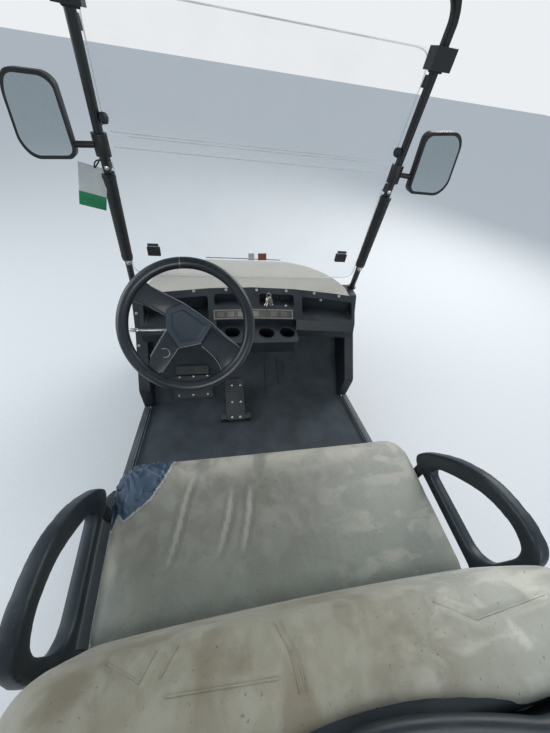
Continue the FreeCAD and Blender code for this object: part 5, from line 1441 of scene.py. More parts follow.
@dataclass
class SteeringWheel:
    """The steering wheel: a thick rim, three dished spokes and a padded hub."""

    hub: Point = (-0.259, 0.015, 1.096)
    tilt: float = math.radians(46.4)
    radius: float = 0.1665
    grip: float = 0.0152
    pad = ((-56, 42), (-10, 59), (67, 2), (32, -50), (-28, -61), (-57, -12))
    spokes = (
        ((-10, 60), (-85, 100), (-112, 122), (-132, 100), (-150, 70), (-98, 50), (-58, 27), (-40, 30)),
        ((67, -6), (142, -69), (147, -76), (120, -113), (87, -140), (80, -96), (33, -58), (30, -30)),
        ((-57, -12), (-67, -23), (-102, -82), (-110, -124), (-93, -137), (-74, -126), (-29, -62), (-25, -40)),
    )
    bright = (
        ((-10, 60), (-50, 81), (-88, 102)), ((-58, 27), (-98, 50)), ((67, 0), (100, -30), (144, -70)),
        ((33, -58), (80, -96), (84, -130)), ((-57, -12), (-67, -23), (-102, -82)), ((-29, -62), (-74, -126)),
        ((-10, 60), (30, 32), (67, 2)), ((32, -50), (-28, -61)),
    )

    def at(self, x: float, y: float, z: float) -> Vector:
        """Returns the place of a point of the wheel's own plane, given in millimetres from its hub."""
        cos, sin = math.cos(self.tilt), math.sin(self.tilt)
        local = Vector((x, y * cos - z * sin, y * sin + z * cos)) / 1000
        return Vector(self.hub) + local

    def normal(self) -> Vector:
        """Returns the direction of the wheel's axis, towards the driver."""
        return Vector((0, -math.sin(self.tilt), math.cos(self.tilt)))

    def rim(self) -> Thing:
        """Builds the rim, with shallow finger notches along its far side."""

        def shape(u: float, v: float) -> Point:
            """Returns a point of the rim's skin."""
            turn, round_ = 2 * math.pi * u, 2 * math.pi * v
            thick = self.grip * 1000 * (
                1 - 0.012 * (1 + math.cos(36 * turn)) * max(0.0, -math.sin(round_ - 0.4))
            )
            reach = self.radius * 1000 + thick * math.cos(round_)
            return self.at(reach * math.cos(turn), reach * math.sin(turn), thick * math.sin(round_))

        rim = Bench.form("wheel_rim", 144, 24, shape)
        return Bench.fit(rim, WHEEL_GRIP, Body.WHEEL, "wheel_grip", ["steering_wheel"])

    def hub_pad(self) -> Thing:
        """Builds the padded hub with its sunk middle."""
        corners = [self.at(x, y, -30) for x, y in self.pad]
        pad = Bench.slab("wheel_hub", corners, self.normal() * 0.034)
        top = max(pad.data.polygons, key=lambda face: face.normal.dot(self.normal()) * face.area)
        Bench.pick(pad, [face.index == top.index for face in pad.data.polygons])
        bpy.ops.mesh.inset(thickness=0.013, depth=0.0)
        bpy.ops.mesh.inset(thickness=0.004, depth=-0.005)
        Bench.done()
        Bench.soften(pad, 0.0035, 3, 20)
        return Bench.fit(pad, WHEEL_PAD, Body.WHEEL, "wheel_grip")

    def spoke(self, index: int, outline: Sequence[tuple[float, float]]) -> Thing:
        """Builds one spoke, dished from the rim down to the hub."""
        thing = Bench.slab(
            f"wheel_spoke_{index}", [self.at(x, y, -13) for x, y in outline], self.normal() * 0.013
        )
        for vertex in thing.data.vertices:
            away = (vertex.co - Vector(self.hub)).length
            vertex.co += self.normal() * (0.010 * min(1.0, max(0.0, (away - 0.06) / 0.09)) - 0.009)
        Bench.soften(thing, 0.0038, 3, 30)
        return Bench.fit(thing, WHEEL_GRIP, Body.WHEEL, "wheel_grip")

    def trims(self) -> None:
        """Adds the worn bright edges, the rim's moulding seam and the hook on the lower spoke."""
        lines = []
        for index, line in enumerate(self.bright):
            lift = [self.at(x, y, 2.5 if max(abs(x), abs(y)) < 68 else -1.5 + 0.02 * abs(x)) for x, y in line]
            lines.append(Bench.tube(f"edge_{index}", lift, 0.0008))
        hook = [
            self.at(-64 + 13 * math.cos(t), -73 + 13 * math.sin(t), -2)
            for t in (2.2, 1.4, 0.5, -0.4, -1.2, -2.0)
        ]
        lines.append(Bench.tube("hook", hook, 0.0013))
        Bench.fit(Bench.join("wheel_bright_edges", lines), EDGE_WEAR, Body.WHEEL, "wheel_grip")
        middle = self.at(-14, 165.8, 0)
        along = (self.at(0, 100, 0) - self.at(0, 0, 0)).cross(self.normal()).normalized()
        seam = Bench.lathe(
            "wheel_seam", [(0.0140, -0.0007), (0.01545, -0.0007), (0.01545, 0.0007), (0.0140, 0.0007)],
            middle, along, 28,
        )
        Bench.fit(seam, EDGE_WEAR, Body.WHEEL, "wheel_grip")

    def neck(self) -> Thing:
        """Builds the collar behind the hub."""
        start = self.at(0, 0, -62)
        collar = Bench.lathe(
            "wheel_collar", [(0, 0), (0.020, 0), (0.020, 0.018), (0.026, 0.024), (0.034, 0.034), (0, 0.034)],
            start, self.normal(), 28,
        )
        return Bench.fit(collar, DARK_PLASTIC, Body.WHEEL, "wheel_grip")

    def build(self) -> None:
        """Builds the wheel."""
        self.rim()
        self.hub_pad()
        for index, outline in enumerate(self.spokes, start=1):
            self.spoke(index, outline)
        self.neck()
        self.trims()


@dataclass
class Column:
    """The steering column with the turn lever, its clamp and its cover."""

    wheel: SteeringWheel = field(default_factory=SteeringWheel)

    def build(self) -> None:
        """Adds the lever, the clamp and the cover to the CAD column."""
        Bench.paint(STRUT_PAINT, "steering_column")
        at, along = self.wheel.at, self.wheel.normal()
        lever = Bench.tube(
            "turn_lever", [at(-30, -6, -92), at(-80, -8, -90), at(-150, -7, -84)], 0.0035, sides=4
        )
        knob = Bench.lathe(
            "turn_lever_knob",
            [(0, 0), (0.0055, 0.001), (0.0065, 0.006), (0.0055, 0.022), (0.0035, 0.026), (0, 0.027)],
            at(-146, -7, -84), (-1, 0, 0.05), 16,
        )
        Bench.fit(Bench.join("turn_lever", [lever, knob]), BRIGHT_METAL, Body.CHASSIS, "strut_paint")
        clamp = Bench.block("lever_clamp", (-0.016, -0.014, -0.012), (0.016, 0.014, 0.012), 0.003)
        turned = along.to_track_quat("Z", "Y").to_matrix().to_4x4()
        clamp.matrix_world = Matrix.Translation(at(-52, -8, -92)) @ turned
        Bench.fit(Bench.settle(clamp), BRIGHT_METAL, Body.CHASSIS, "strut_paint")
        cover = Bench.lathe(
            "column_cover",
            [(0.0245, 0), (0.034, 0), (0.038, 0.010), (0.038, 0.060), (0.030, 0.072), (0.0245, 0.072)],
            at(0, 0, -150), along, 32,
        )
        Bench.fit(cover, DASH_PLASTIC, Body.CHASSIS, "strut_paint")
        rib = [
            (0.0245, 0), (0.040, 0.000), (0.041, 0.004), (0.036, 0.007),
            (0.041, 0.010), (0.040, 0.014), (0.0245, 0.014)
        ]
        rings = [
            Bench.lathe("column_boot", rib, at(0, 0, -760 - 13 * index), along, 28)
            for index in range(3)
        ]
        Bench.fit(Bench.join("column_boot_ribs", rings), CLIP_RUBBER, Body.CHASSIS, "strut_paint")


@dataclass
class Dash:
    """The moulded dash with its screws, switch, key and blank plates, and the cup tray."""

    screw_radius: float = 0.0068
    top_screws = (
        (193.7, 291.0), (226, 289.8), (256.7, 290.0), (286.2, 290.9), (314.2, 293.2), (339.0, 296.2)
    )
    loose_screws = ((285.8, 305.7), (320.8, 300.0), (136.5, 313.4), (139.0, 345.7))
    spare_keys = ((-0.62, 0.046), (-0.30, 0.056), (0.22, 0.052), (0.60, 0.042))
    plate_row = (-0.158, -0.110, -0.062, 0.008, 0.098, 0.148)

    def screws(self) -> None:
        """Sets the pale screws along the dash's upper edge and on its face."""
        nodes = ("dash", "footwell_sides", "cup_tray")
        places = []
        for x, y in self.top_screws + self.loose_screws:
            hits = [hit for hit in (STUDIO.land(node, x, y) for node in nodes) if hit]
            if hits:
                places.append(min(hits, key=lambda hit: (hit[0] - Vector(STUDIO.eye)).length))
        row = Fasteners.set_out("dash_screws", Fasteners.screw(self.screw_radius), places)
        Bench.fit(row, SCREW_WHITE, Body.CHASSIS, "dash_plastic")

    def plate(
        self, name: str, span: tuple[float, float, float, float], lift: float, thick: float, finish: Finish
    ) -> None:
        """Lays a thin plate on the sloping face of the dash.

        Args:
            name: the plate's name.
            span: its left and right ends, its foot and its top.
            lift: how far its middle stands off the dash.
            thick: its thickness.
            finish: its surface.
        """
        left, right, foot, top = span

        def aim(u: float, v: float) -> tuple[Point, Point]:
            """Returns the line that finds a point of the plate."""
            return (left + u * (right - left), 0.3, foot + v * (top - foot)), (0, 1, 0)

        columns = max(2, round((right - left) / 0.012))
        sheet = Survey.sheet(name, "dash", columns, 3, lift, thick, aim)
        Bench.fit(sheet, finish, Body.CHASSIS, "dash_plastic")

    def plates(self) -> None:
        """Fits the blank brown plate in its bright frame, with its blank fields."""
        self.plate("label_frame", (-0.1895, 0.1915, 0.7445, 0.7735), 0.0010, 0.0022, FRAME_BRIGHT)
        self.plate("label_panel", (-0.1850, 0.1870, 0.7475, 0.7705), 0.0016, 0.0024, PLATE_BROWN)
        for index, middle in enumerate(self.plate_row, start=1):
            span = (middle - 0.0155, middle + 0.0155, 0.7510, 0.7668)
            self.plate(f"label_field_{index}", span, 0.0030, 0.0010, PLATE_BLANK)

    def key(self) -> None:
        """Hangs the bunch of keys from the ignition switch."""
        found = STUDIO.land("dash", 267.5, 300.0)
        if not found:
            return
        place, normal = found
        out = (normal + Vector((0, -0.2, 0))).normalized()
        bezel = Bench.lathe(
            "key_switch", [
                (0, 0), (0.0145, 0), (0.0145, 0.004), (0.0115, 0.007),
                (0.0075, 0.007), (0.0065, 0.004), (0, 0.004)
            ],
            place, out, 24,
        )
        Bench.fit(bezel, BRIGHT_METAL, Body.CHASSIS, "dash_plastic")
        tip = place + out * 0.046
        side = Vector((1, 0, 0))
        slope = Vector((0, -0.775, -0.632))
        head = self.key_outline(place + out * 0.038, side, out, 0.010, 0.012)
        parts = [Bench.slab("key_head", head, side.cross(out) * 0.0022, 0.0006)]
        parts.append(Bench.rod("key_blade", place + out * 0.002, place + out * 0.028, 0.0030, 6, 0.0004))
        turns = [2 * math.pi * step / 8 for step in range(8)]
        ring = [tip + side * (0.012 * math.cos(t)) + slope * (0.010 + 0.012 * math.sin(t)) for t in turns]
        parts.append(Bench.tube("key_ring", ring, 0.0009, closed=True))
        for lean, drop in self.spare_keys:
            down = (slope * math.cos(lean) + side * math.sin(lean) - out * 0.30).normalized()
            top = tip + slope * 0.020
            width = down.cross(out).normalized()
            face = self.key_outline(top + down * 0.010, width, down, 0.009, 0.010)
            parts.append(Bench.slab("spare_head", face, out * 0.0022, 0.0005))
            parts.append(Bench.rod("spare_blade", top + down * 0.018, top + down * drop, 0.0026, 6, 0.0003))
        Bench.fit(Bench.join("key_bunch", parts), BRIGHT_METAL, Body.CHASSIS, "dash_plastic")
        middle = tip + slope * 0.044 + side * 0.006 + out * 0.002
        fob = Bench.slab("key_fob", self.key_outline(middle, side, slope, 0.012, 0.020), out * 0.003, 0.0009)
        Bench.fit(fob, FOB_LEATHER, Body.CHASSIS, "dash_plastic")

    @staticmethod
    def key_outline(middle: Vector, across: Vector, along: Vector, half: float, reach: float) -> list[Vector]:
        """Returns a rounded tag's outline round its middle."""
        turns = [2 * math.pi * step / 16 for step in range(16)]
        return [
            middle + across * (half * math.cos(turn)) + Vector(along) * (reach * math.sin(turn))
            for turn in turns
        ]

    def switch(self) -> None:
        """Fits the rocker switch in its bezel."""
        found = STUDIO.land("dash", 281.5, 299.5)
        if not found:
            return
        place, normal = found
        turn = Matrix.Translation(place) @ normal.to_track_quat("Z", "Y").to_matrix().to_4x4()
        bezel = Bench.block("switch_bezel", (-0.012, -0.019, 0), (0.012, 0.019, 0.004), 0.0012)
        rocker = Bench.block("switch_rocker", (-0.0085, -0.0150, 0.002), (0.0085, 0.0150, 0.0085), 0.0022, 3)
        for thing in (bezel, rocker):
            thing.matrix_world = turn
            Bench.fit(Bench.settle(thing), DARK_PLASTIC, Body.CHASSIS, "dash_plastic")

    def cup_lips(self) -> None:
        """Rounds the cup holes' edges with rolled lips."""
        _low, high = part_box("cup_tray")
        lips = []
        for x, y in ((-0.106, 0.438), (0.058, 0.430), (0.161, 0.430)):
            profile = [
                (0.0375, -0.006), (0.0415, 0.0), (0.0405, 0.0026),
                (0.0385, 0.0026), (0.0368, 0.0), (0.0362, -0.006)
            ]
            lips.append(Bench.lathe("cup_lip", profile, (x, y, high.z), (0, 0, 1), 40))
        Bench.fit(Bench.join("cup_lips", lips), DASH_PLASTIC, Body.CHASSIS, "dash_plastic")

    def build(self) -> None:
        """Dresses the dash and adds what is fixed to it."""
        Bench.paint(DASH_PLASTIC, "dash", "cup_tray")
        self.screws()
        self.plates()
        self.key()
        self.switch()
        self.cup_lips()


@dataclass
class Floor:
    """The rubber mat, the ridged sill strips, the footwell sides and the pedals."""

    brake_rivets = (
        (179.6, 377.2), (193.6, 376.4), (207.4, 375.6), (179.2, 395.8), (193.6, 394.8), (208.0, 394.0)
    )
    throttle_rivets = (
        (232.0, 385.4), (240.4, 385.0), (232.4, 402.0), (240.8, 401.6), (232.4, 417.2), (240.4, 416.8)
    )
    sill_x: float = 0.5599
    sill_taper: float = 0.1241
    sill_from: float = 0.05
    slit_shadow_points = (
        ((264, 363), (265, 377), (266, 392)), ((276, 355), (277, 369), (278, 384)), ((282, 362), (283, 376))
    )

    def rivets(self) -> None:
        """Sets the bright rivets in the pedals' pads."""
        rows = (
            ("brake_rivets", "brake_pedals", self.brake_rivets),
            ("throttle_rivets", "accelerator", self.throttle_rivets)
        )
        for name, node, points in rows:
            places = [STUDIO.land(node, x, y) or STUDIO.land("floor", x, y) for x, y in points]
            row = Fasteners.set_out(name, Fasteners.screw(0.0062), places)
            Bench.fit(row, RIVET_BRIGHT, Body.CHASSIS, "pedal_metal")

    def ridges(self) -> None:
        """Lays dark tubes along the mat's slits on the toe board, as painted shade in the slits."""
        runs = []
        for index, line in enumerate(self.slit_shadow_points):
            # Each dark tube is painted shade where a slit of the mat is.
            places = [STUDIO.land("floor", x, y) for x, y in line]
            runs.append(Bench.tube(f"slit_{index}", [hit[0] for hit in places if hit], 0.0021, sides=1))
        Bench.fit(Bench.join("mat_slit_shadows", runs), DARK_PLASTIC, Body.CHASSIS, "floor_rubber")

    def sills(self) -> None:
        """Adds three ridges along each sill strip."""
        low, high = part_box("sill_strips")
        runs = []
        for side in Side:
            for offset in (-0.0095, 0.0, 0.0095):
                ends = []
                for y in (low.y + 0.006, high.y - 0.006):
                    x = self.sill_x - self.sill_taper * (y - self.sill_from) + offset
                    ends.append((side * x, y, high.z - 0.0006))
                middle = [(a + b) / 2 for a, b in zip(*ends)]
                runs.append(Bench.tube("sill_ridge", [ends[0], middle, ends[1]], 0.0024))
        Bench.fit(Bench.join("sill_ridges", runs), SILL_PLASTIC, Body.CHASSIS, "sill_plastic")

    def build(self) -> None:
        """Dresses the floor and adds its small parts."""
        Bench.paint(FLOOR_RUBBER, "floor")
        Bench.paint(SILL_PLASTIC, "sill_strips")
        Bench.paint(DASH_PLASTIC, "footwell_sides")
        Bench.paint(PEDAL_METAL, "brake_pedals", "accelerator")
        self.rivets()
        self.ridges()
        self.sills()


@dataclass(frozen=True)
class Corner:
    """One wheel: its name, its body, its side and where its middle stands."""

    name: str
    body: Body
    side: Side
    x: float
    y: float


@dataclass
class Wheels:
    """The four wheels: tyres with a block tread, nuts on their studs, dust caps and valves."""

    height: float = 0.2285
    steps: int = 60
    skew: float = 1.1
    groove: float = 0.0028
    block_height: float = 0.0045
    crown: float = 0.2150
    disc_face: float = 0.0182
    nut_ring: float = 0.0508
    valve_ring: float = 0.0745
    half_profile = (
        (0.1022, 0.0840), (0.1180, 0.0940), (0.1380, 0.1035), (0.1460, 0.1056), (0.1475, 0.1070),
        (0.1540, 0.1076), (0.1555, 0.1064), (0.1700, 0.1070), (0.1840, 0.1055), (0.2000, 0.1008),
        (0.2110, 0.0930), (0.2185, 0.0840), (0.2222, 0.0560), (0.2235, 0.0280), (0.2238, 0.0),
    )
    lining = (
        (0.1022, -0.0800), (0.1600, -0.0940), (0.2050, -0.0750),
        (0.2110, 0.0), (0.2050, 0.0750), (0.1600, 0.0940), (0.1022, 0.0800),
    )
    cap = (
        (0.0185, 0.0485), (0.0225, 0.0485), (0.0225, 0.0520), (0.0205, 0.0540), (0.0205, 0.0655),
        (0.0170, 0.0695), (0.0, 0.0705), (0.0, 0.0690), (0.0160, 0.0680), (0.0185, 0.0650),
    )
    corners = (
        Corner("front_left", Body.FRONT_LEFT, Side.LEFT, -0.435, 0.850),
        Corner("front_right", Body.FRONT_RIGHT, Side.RIGHT, 0.435, 0.850),
        Corner("rear_left", Body.REAR_LEFT, Side.LEFT, -0.485, -0.820),
        Corner("rear_right", Body.REAR_RIGHT, Side.RIGHT, 0.485, -0.820),
    )

    def tyre(self) -> Thing:
        """Models a tyre at the origin, its axle along X, with raised blocks in skewed rows on its crown."""
        profile = [*self.half_profile, *((r, -x) for r, x in reversed(self.half_profile[:-1])), *self.lining]
        tyre = Bench.lathe("tyre", profile, (0, 0, 0), (1, 0, 0), self.steps)
        for vertex in tyre.data.vertices:
            if math.hypot(vertex.co.y, vertex.co.z) > 0.2105:
                vertex.co = Matrix.Rotation(self.skew * abs(vertex.co.x), 3, "X") @ vertex.co
        tyre.data.update()
        picked = [math.hypot(face.center.y, face.center.z) > self.crown for face in tyre.data.polygons]
        Bench.pick(tyre, picked)
        bpy.ops.mesh.inset(use_individual=True, thickness=self.groove, depth=self.block_height)
        return Bench.done()

    def hardware(self) -> Thing:
        """Models the nuts on their studs and the dust cap of a wheel whose outside faces +X."""
        face = self.disc_face
        parts = [Bench.lathe("dust_cap", self.cap, (0, 0, 0), (1, 0, 0), 28)]
        for index in range(4):
            turn = math.radians(90 * index)
            y, z = self.nut_ring * math.cos(turn), self.nut_ring * math.sin(turn)
            parts.append(Bench.rod("nut", (face - 0.001, y, z), (face + 0.013, y, z), 0.0108, 6, 0.0012))
            parts.append(Bench.rod("stud", (face + 0.008, y, z), (face + 0.019, y, z), 0.0052, 12, 0.0008))
        return Bench.join("wheel_hardware", parts)

    def valve(self) -> Thing:
        """Models the valve and its cap on a wheel whose outside faces +X."""
        turn = math.radians(22.5)
        y, z = self.valve_ring * math.cos(turn), self.valve_ring * math.sin(turn)
        profile = [
            (0, -0.003), (0.0048, -0.003), (0.0048, 0.004), (0.0034, 0.007), (0.0034, 0.020),
            (0.0050, 0.021), (0.0050, 0.030), (0.0038, 0.032), (0, 0.032),
        ]
        return Bench.lathe("valve", profile, (self.disc_face, y, z), (1, 0, 0), 14)

    def build(self) -> None:
        """Models one of each and sets it on the four wheels."""
        models = (
            ("tyre", self.tyre(), TYRE_RUBBER, "tyre_rubber"),
            ("nut", self.hardware(), BRIGHT_METAL, "rim_paint"),
            ("valve", self.valve(), CLIP_RUBBER, "rim_paint"),
        )
        for corner in self.corners:
            Bench.paint(RIM_PAINT, f"rim_{corner.name}")
            hub = Matrix.Translation((corner.x, corner.y, self.height))
            place = hub @ Matrix.Scale(corner.side, 4, (1, 0, 0))
            for part, model, finish, slot in models:
                thing = Bench.copy(model, f"{part}s_{corner.name}", place)
                stands_for = [f"tyre_{corner.name}"] if part == "tyre" else []
                Bench.fit(thing, finish, corner.body, slot, stands_for)
        for _part, model, _finish, _slot in models:
            bpy.data.objects.remove(model)


@dataclass(frozen=True)
class SpringSeat:
    """Where an axle rides on a leaf spring: its line, its tube and its shock absorber's ends."""

    y: float
    radius: float
    shock_foot: tuple[float, float, float]
    shock_head: tuple[float, float, float]


@dataclass
class Undercarriage:
    """What is bolted to the frame below: spring clamps, shock absorbers, cables and axle details."""

    axle_z: float = 0.2285
    spring_x: float = 0.175
    leaves: float = 0.018
    seats = (
        SpringSeat(0.850, 0.025, (0.228, 0.892, 0.236), (0.233, 0.930, 0.425)),
        SpringSeat(-0.820, 0.035, (0.235, -0.770, 0.252), (0.235, -0.700, 0.440)),
    )

    def clamps(self) -> None:
        """Clamps the springs to the axles with plates and U-bolts."""
        parts = []
        for seat in self.seats:
            low = self.axle_z - seat.radius - self.leaves - 0.009
            reach = seat.radius + 0.006
            for side in Side:
                middle = side * self.spring_x
                parts.append(Bench.block(
                    "clamp_plate", (middle - 0.042, seat.y - reach - 0.016, low),
                    (middle + 0.042, seat.y + reach + 0.016, low + 0.008), 0.0015))
                for offset in (-0.030, 0.030):
                    x = middle + offset
                    arch = [(x, seat.y + reach * math.cos(turn), self.axle_z + reach * math.sin(turn))
                            for turn in (math.pi * step / 8 for step in range(9))]
                    route = [(x, seat.y + reach, low - 0.012), *arch, (x, seat.y - reach, low - 0.012)]
                    parts.append(Bench.tube("u_bolt", route, 0.005, sides=3))
                    for y in (seat.y - reach, seat.y + reach):
                        parts.append(Bench.rod("nut", (x, y, low - 0.009), (x, y, low), 0.0095, 6, 0.001))
        Bench.fit(Bench.join("spring_clamps", parts), SPRING_STEEL, Body.CHASSIS, "spring_steel")

    def shocks(self) -> None:
        """Hangs the four shock absorbers between the axles and the frame."""
        cases, rods = [], []
        for seat in self.seats:
            for side in Side:
                foot = Vector((side * seat.shock_foot[0], *seat.shock_foot[1:]))
                head = Vector((side * seat.shock_head[0], *seat.shock_head[1:]))
                run = (head - foot).normalized()
                reach = (head - foot).length
                case = [
                    (0, 0.016), (0.012, 0.016), (0.0185, 0.022), (0.0185, reach * 0.56),
                    (0.014, reach * 0.58), (0, reach * 0.58),
                ]
                cover = [
                    (0.0195, reach * 0.45), (0.0225, reach * 0.45), (0.0225, reach - 0.018),
                    (0.012, reach - 0.012), (0, reach - 0.012), (0, reach - 0.016), (0.0195, reach - 0.022),
                ]
                cases.append(Bench.lathe("shock_case", case, foot, run, 24))
                cases.append(Bench.lathe("shock_cover", cover, foot, run, 24))
                for end in (foot, head):
                    eye = [(0.0065, -0.014), (0.0165, -0.014), (0.0165, 0.014), (0.0065, 0.014)]
                    cases.append(Bench.lathe("shock_eye", eye, end, (1, 0, 0), 20))
                    inner = end - Vector((side * 0.055, 0, 0))
                    rods.append(
                        Bench.rod("shock_bolt", inner, end + Vector((side * 0.018, 0, 0)), 0.0064, 12, 0.001)
                    )
                    rods.append(Bench.rod("shock_nut", end + Vector((side * 0.0145, 0, 0)),
                                          end + Vector((side * 0.023, 0, 0)), 0.0105, 6, 0.001))
        Bench.fit(Bench.join("shock_absorbers", cases), FRAME_PAINT, Body.CHASSIS, "spring_steel")
        Bench.fit(Bench.join("shock_bolts", rods), CAST_METAL, Body.CHASSIS, "spring_steel")

    def cables(self) -> None:
        """Runs the brake cables to the drums and the heavy cables to the motor."""
        runs = [
            Bench.tube("brake_rod", [(-0.06, 0.33, 0.262), (-0.05, -0.1, 0.235), (0.0, -0.40, 0.235)], 0.006)
        ]
        for side in Side:
            route = [(0, -0.40, 0.235), (side * 0.06, -0.52, 0.232), (side * 0.22, -0.66, 0.205),
                     (side * 0.33, -0.74, 0.178), (side * 0.375, -0.80, 0.168)]
            runs.append(Bench.tube("brake_cable", route, 0.0045, sides=3))
            motor = [
                (side * 0.03 - 0.04, -0.47, 0.30), (side * 0.03 - 0.04, -0.50, 0.285),
                (side * 0.02, -0.60, 0.305), (side * 0.035 + 0.036, -0.64, 0.290),
            ]
            runs.append(Bench.tube("motor_cable", motor, 0.0065, sides=3))
        Bench.fit(Bench.join("under_cables", runs), CLIP_RUBBER, Body.CHASSIS, "frame_paint")

    def axle_details(self) -> None:
        """Adds the gear case's flange bolts and the ribs of the brake drums."""
        low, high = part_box("rear_axle")
        parts = []
        for side in Side:
            for share in (0.0, 0.5, 1.0):
                x = side * (0.392 + 0.030 * share)
                rib = [(0.069, -0.002), (0.0735, -0.002), (0.0735, 0.002), (0.069, 0.002)]
                parts.append(Bench.lathe("drum_rib", rib, (x, -0.820, self.axle_z), (1, 0, 0), 40))
        for index in range(10):
            turn = 2 * math.pi * index / 10
            x, z = 0.036 + 0.093 * math.cos(turn), self.axle_z + 0.093 * math.sin(turn)
            parts.append(Bench.rod("case_bolt", (x, -0.842, z), (x, -0.798, z), 0.0075, 6, 0.0008))
        Bench.fit(Bench.join("rear_axle_details", parts), CAST_METAL, Body.CHASSIS, "spring_steel")
        log.info("rear axle from %s to %s", low, high)

    def build(self) -> None:
        """Builds this sub-assembly."""
        Bench.paint(FRAME_PAINT, "frame_rails", "cross_members", "bumpers")
        Bench.paint(SPRING_STEEL, "leaf_springs", "front_axle", "knuckle_left", "knuckle_right", "track_rod")
        Bench.paint(CAST_METAL, "rear_axle")
        self.clamps()
        self.shocks()
        self.cables()
        self.axle_details()


@dataclass
class Batteries:
    """Three lead batteries under the seat, with their caps, terminals, cables and hold-down bar."""

    count: int = 3
    gap: float = 0.008

    def build(self) -> None:
        """Builds the cases, the lids and what stands on them."""
        low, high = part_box("battery_bank")
        pitch = (high.x - low.x + self.gap) / self.count
        cases, lids, caps, metal, leads = [], [], [], [], []
        for index in range(self.count):
            left, right = low.x + index * pitch, low.x + (index + 1) * pitch - self.gap
            near, far = low.y + 0.003, high.y - 0.003
            cases.append(Bench.block("case", (left, near, low.z), (right, far, high.z - 0.034), 0.004))
            for step in range(1, 6):
                x = left + (right - left) * step / 6
                cases.append(
                    Bench.block(
                        "rib", (x - 0.004, low.y, low.z + 0.02), (x + 0.004, high.y, high.z - 0.05), 0.0015
                    )
                )
            lids.append(
                Bench.block("lid", (left, near, high.z - 0.035), (right, far, high.z - 0.018), 0.004, 3)
            )
            for y in (near + 0.070, far - 0.070):
                lids.append(
                    Bench.block(
                        "vent_bar", (left + 0.03, y - 0.016, high.z - 0.019),
                        (right - 0.03, y + 0.016, high.z - 0.013), 0.002
                    )
                )
                for step in range(3):
                    x = left + 0.052 + step * (right - left - 0.104) / 2
                    caps.append(
                        Bench.rod(
                            "vent_cap", (x, y, high.z - 0.014), (x, y, high.z - 0.003), 0.0115, 18, 0.0015
                        )
                    )
            for x, y in ((left + 0.028, near + 0.030), (right - 0.028, far - 0.030)):
                metal.append(
                    Bench.rod("terminal", (x, y, high.z - 0.020), (x, y, high.z - 0.002), 0.009, 16, 0.0015)
                )
                metal.append(
                    Bench.rod(
                        "terminal_nut", (x, y, high.z - 0.010), (x, y, high.z - 0.004), 0.0125, 6, 0.001
                    )
                )
            if index:
                start = (left - pitch + self.gap + right - left - 0.028, far - 0.030)
                end = (left + 0.028, near + 0.030)
                middle = ((start[0] + end[0]) / 2, (start[1] + end[1]) / 2)
                leads.append(
                    Bench.tube(
                        "lead",
                        [(*start, high.z - 0.010), (*middle, high.z - 0.0075), (*end, high.z - 0.010)],
                        0.0055, sides=3
                    )
                )
        bar = Bench.block(
            "bar", (low.x + 0.01, (low.y + high.y) / 2 - 0.012, high.z - 0.019),
            (high.x - 0.01, (low.y + high.y) / 2 + 0.012, high.z - 0.013), 0.002
        )
        Bench.fit(
            Bench.join("battery_cases", cases), BATTERY_CASE, Body.CHASSIS, "battery_case", ["battery_bank"]
        )
        Bench.fit(Bench.join("battery_lids", lids), BATTERY_TOP, Body.CHASSIS, "battery_case")
        Bench.fit(Bench.join("battery_caps", [*caps, bar]), DARK_PLASTIC, Body.CHASSIS, "battery_case")
        Bench.fit(Bench.join("battery_terminals", metal), CAST_METAL, Body.CHASSIS, "battery_case")
        Bench.fit(Bench.join("battery_leads", leads), BATTERY_TOP, Body.CHASSIS, "battery_case")


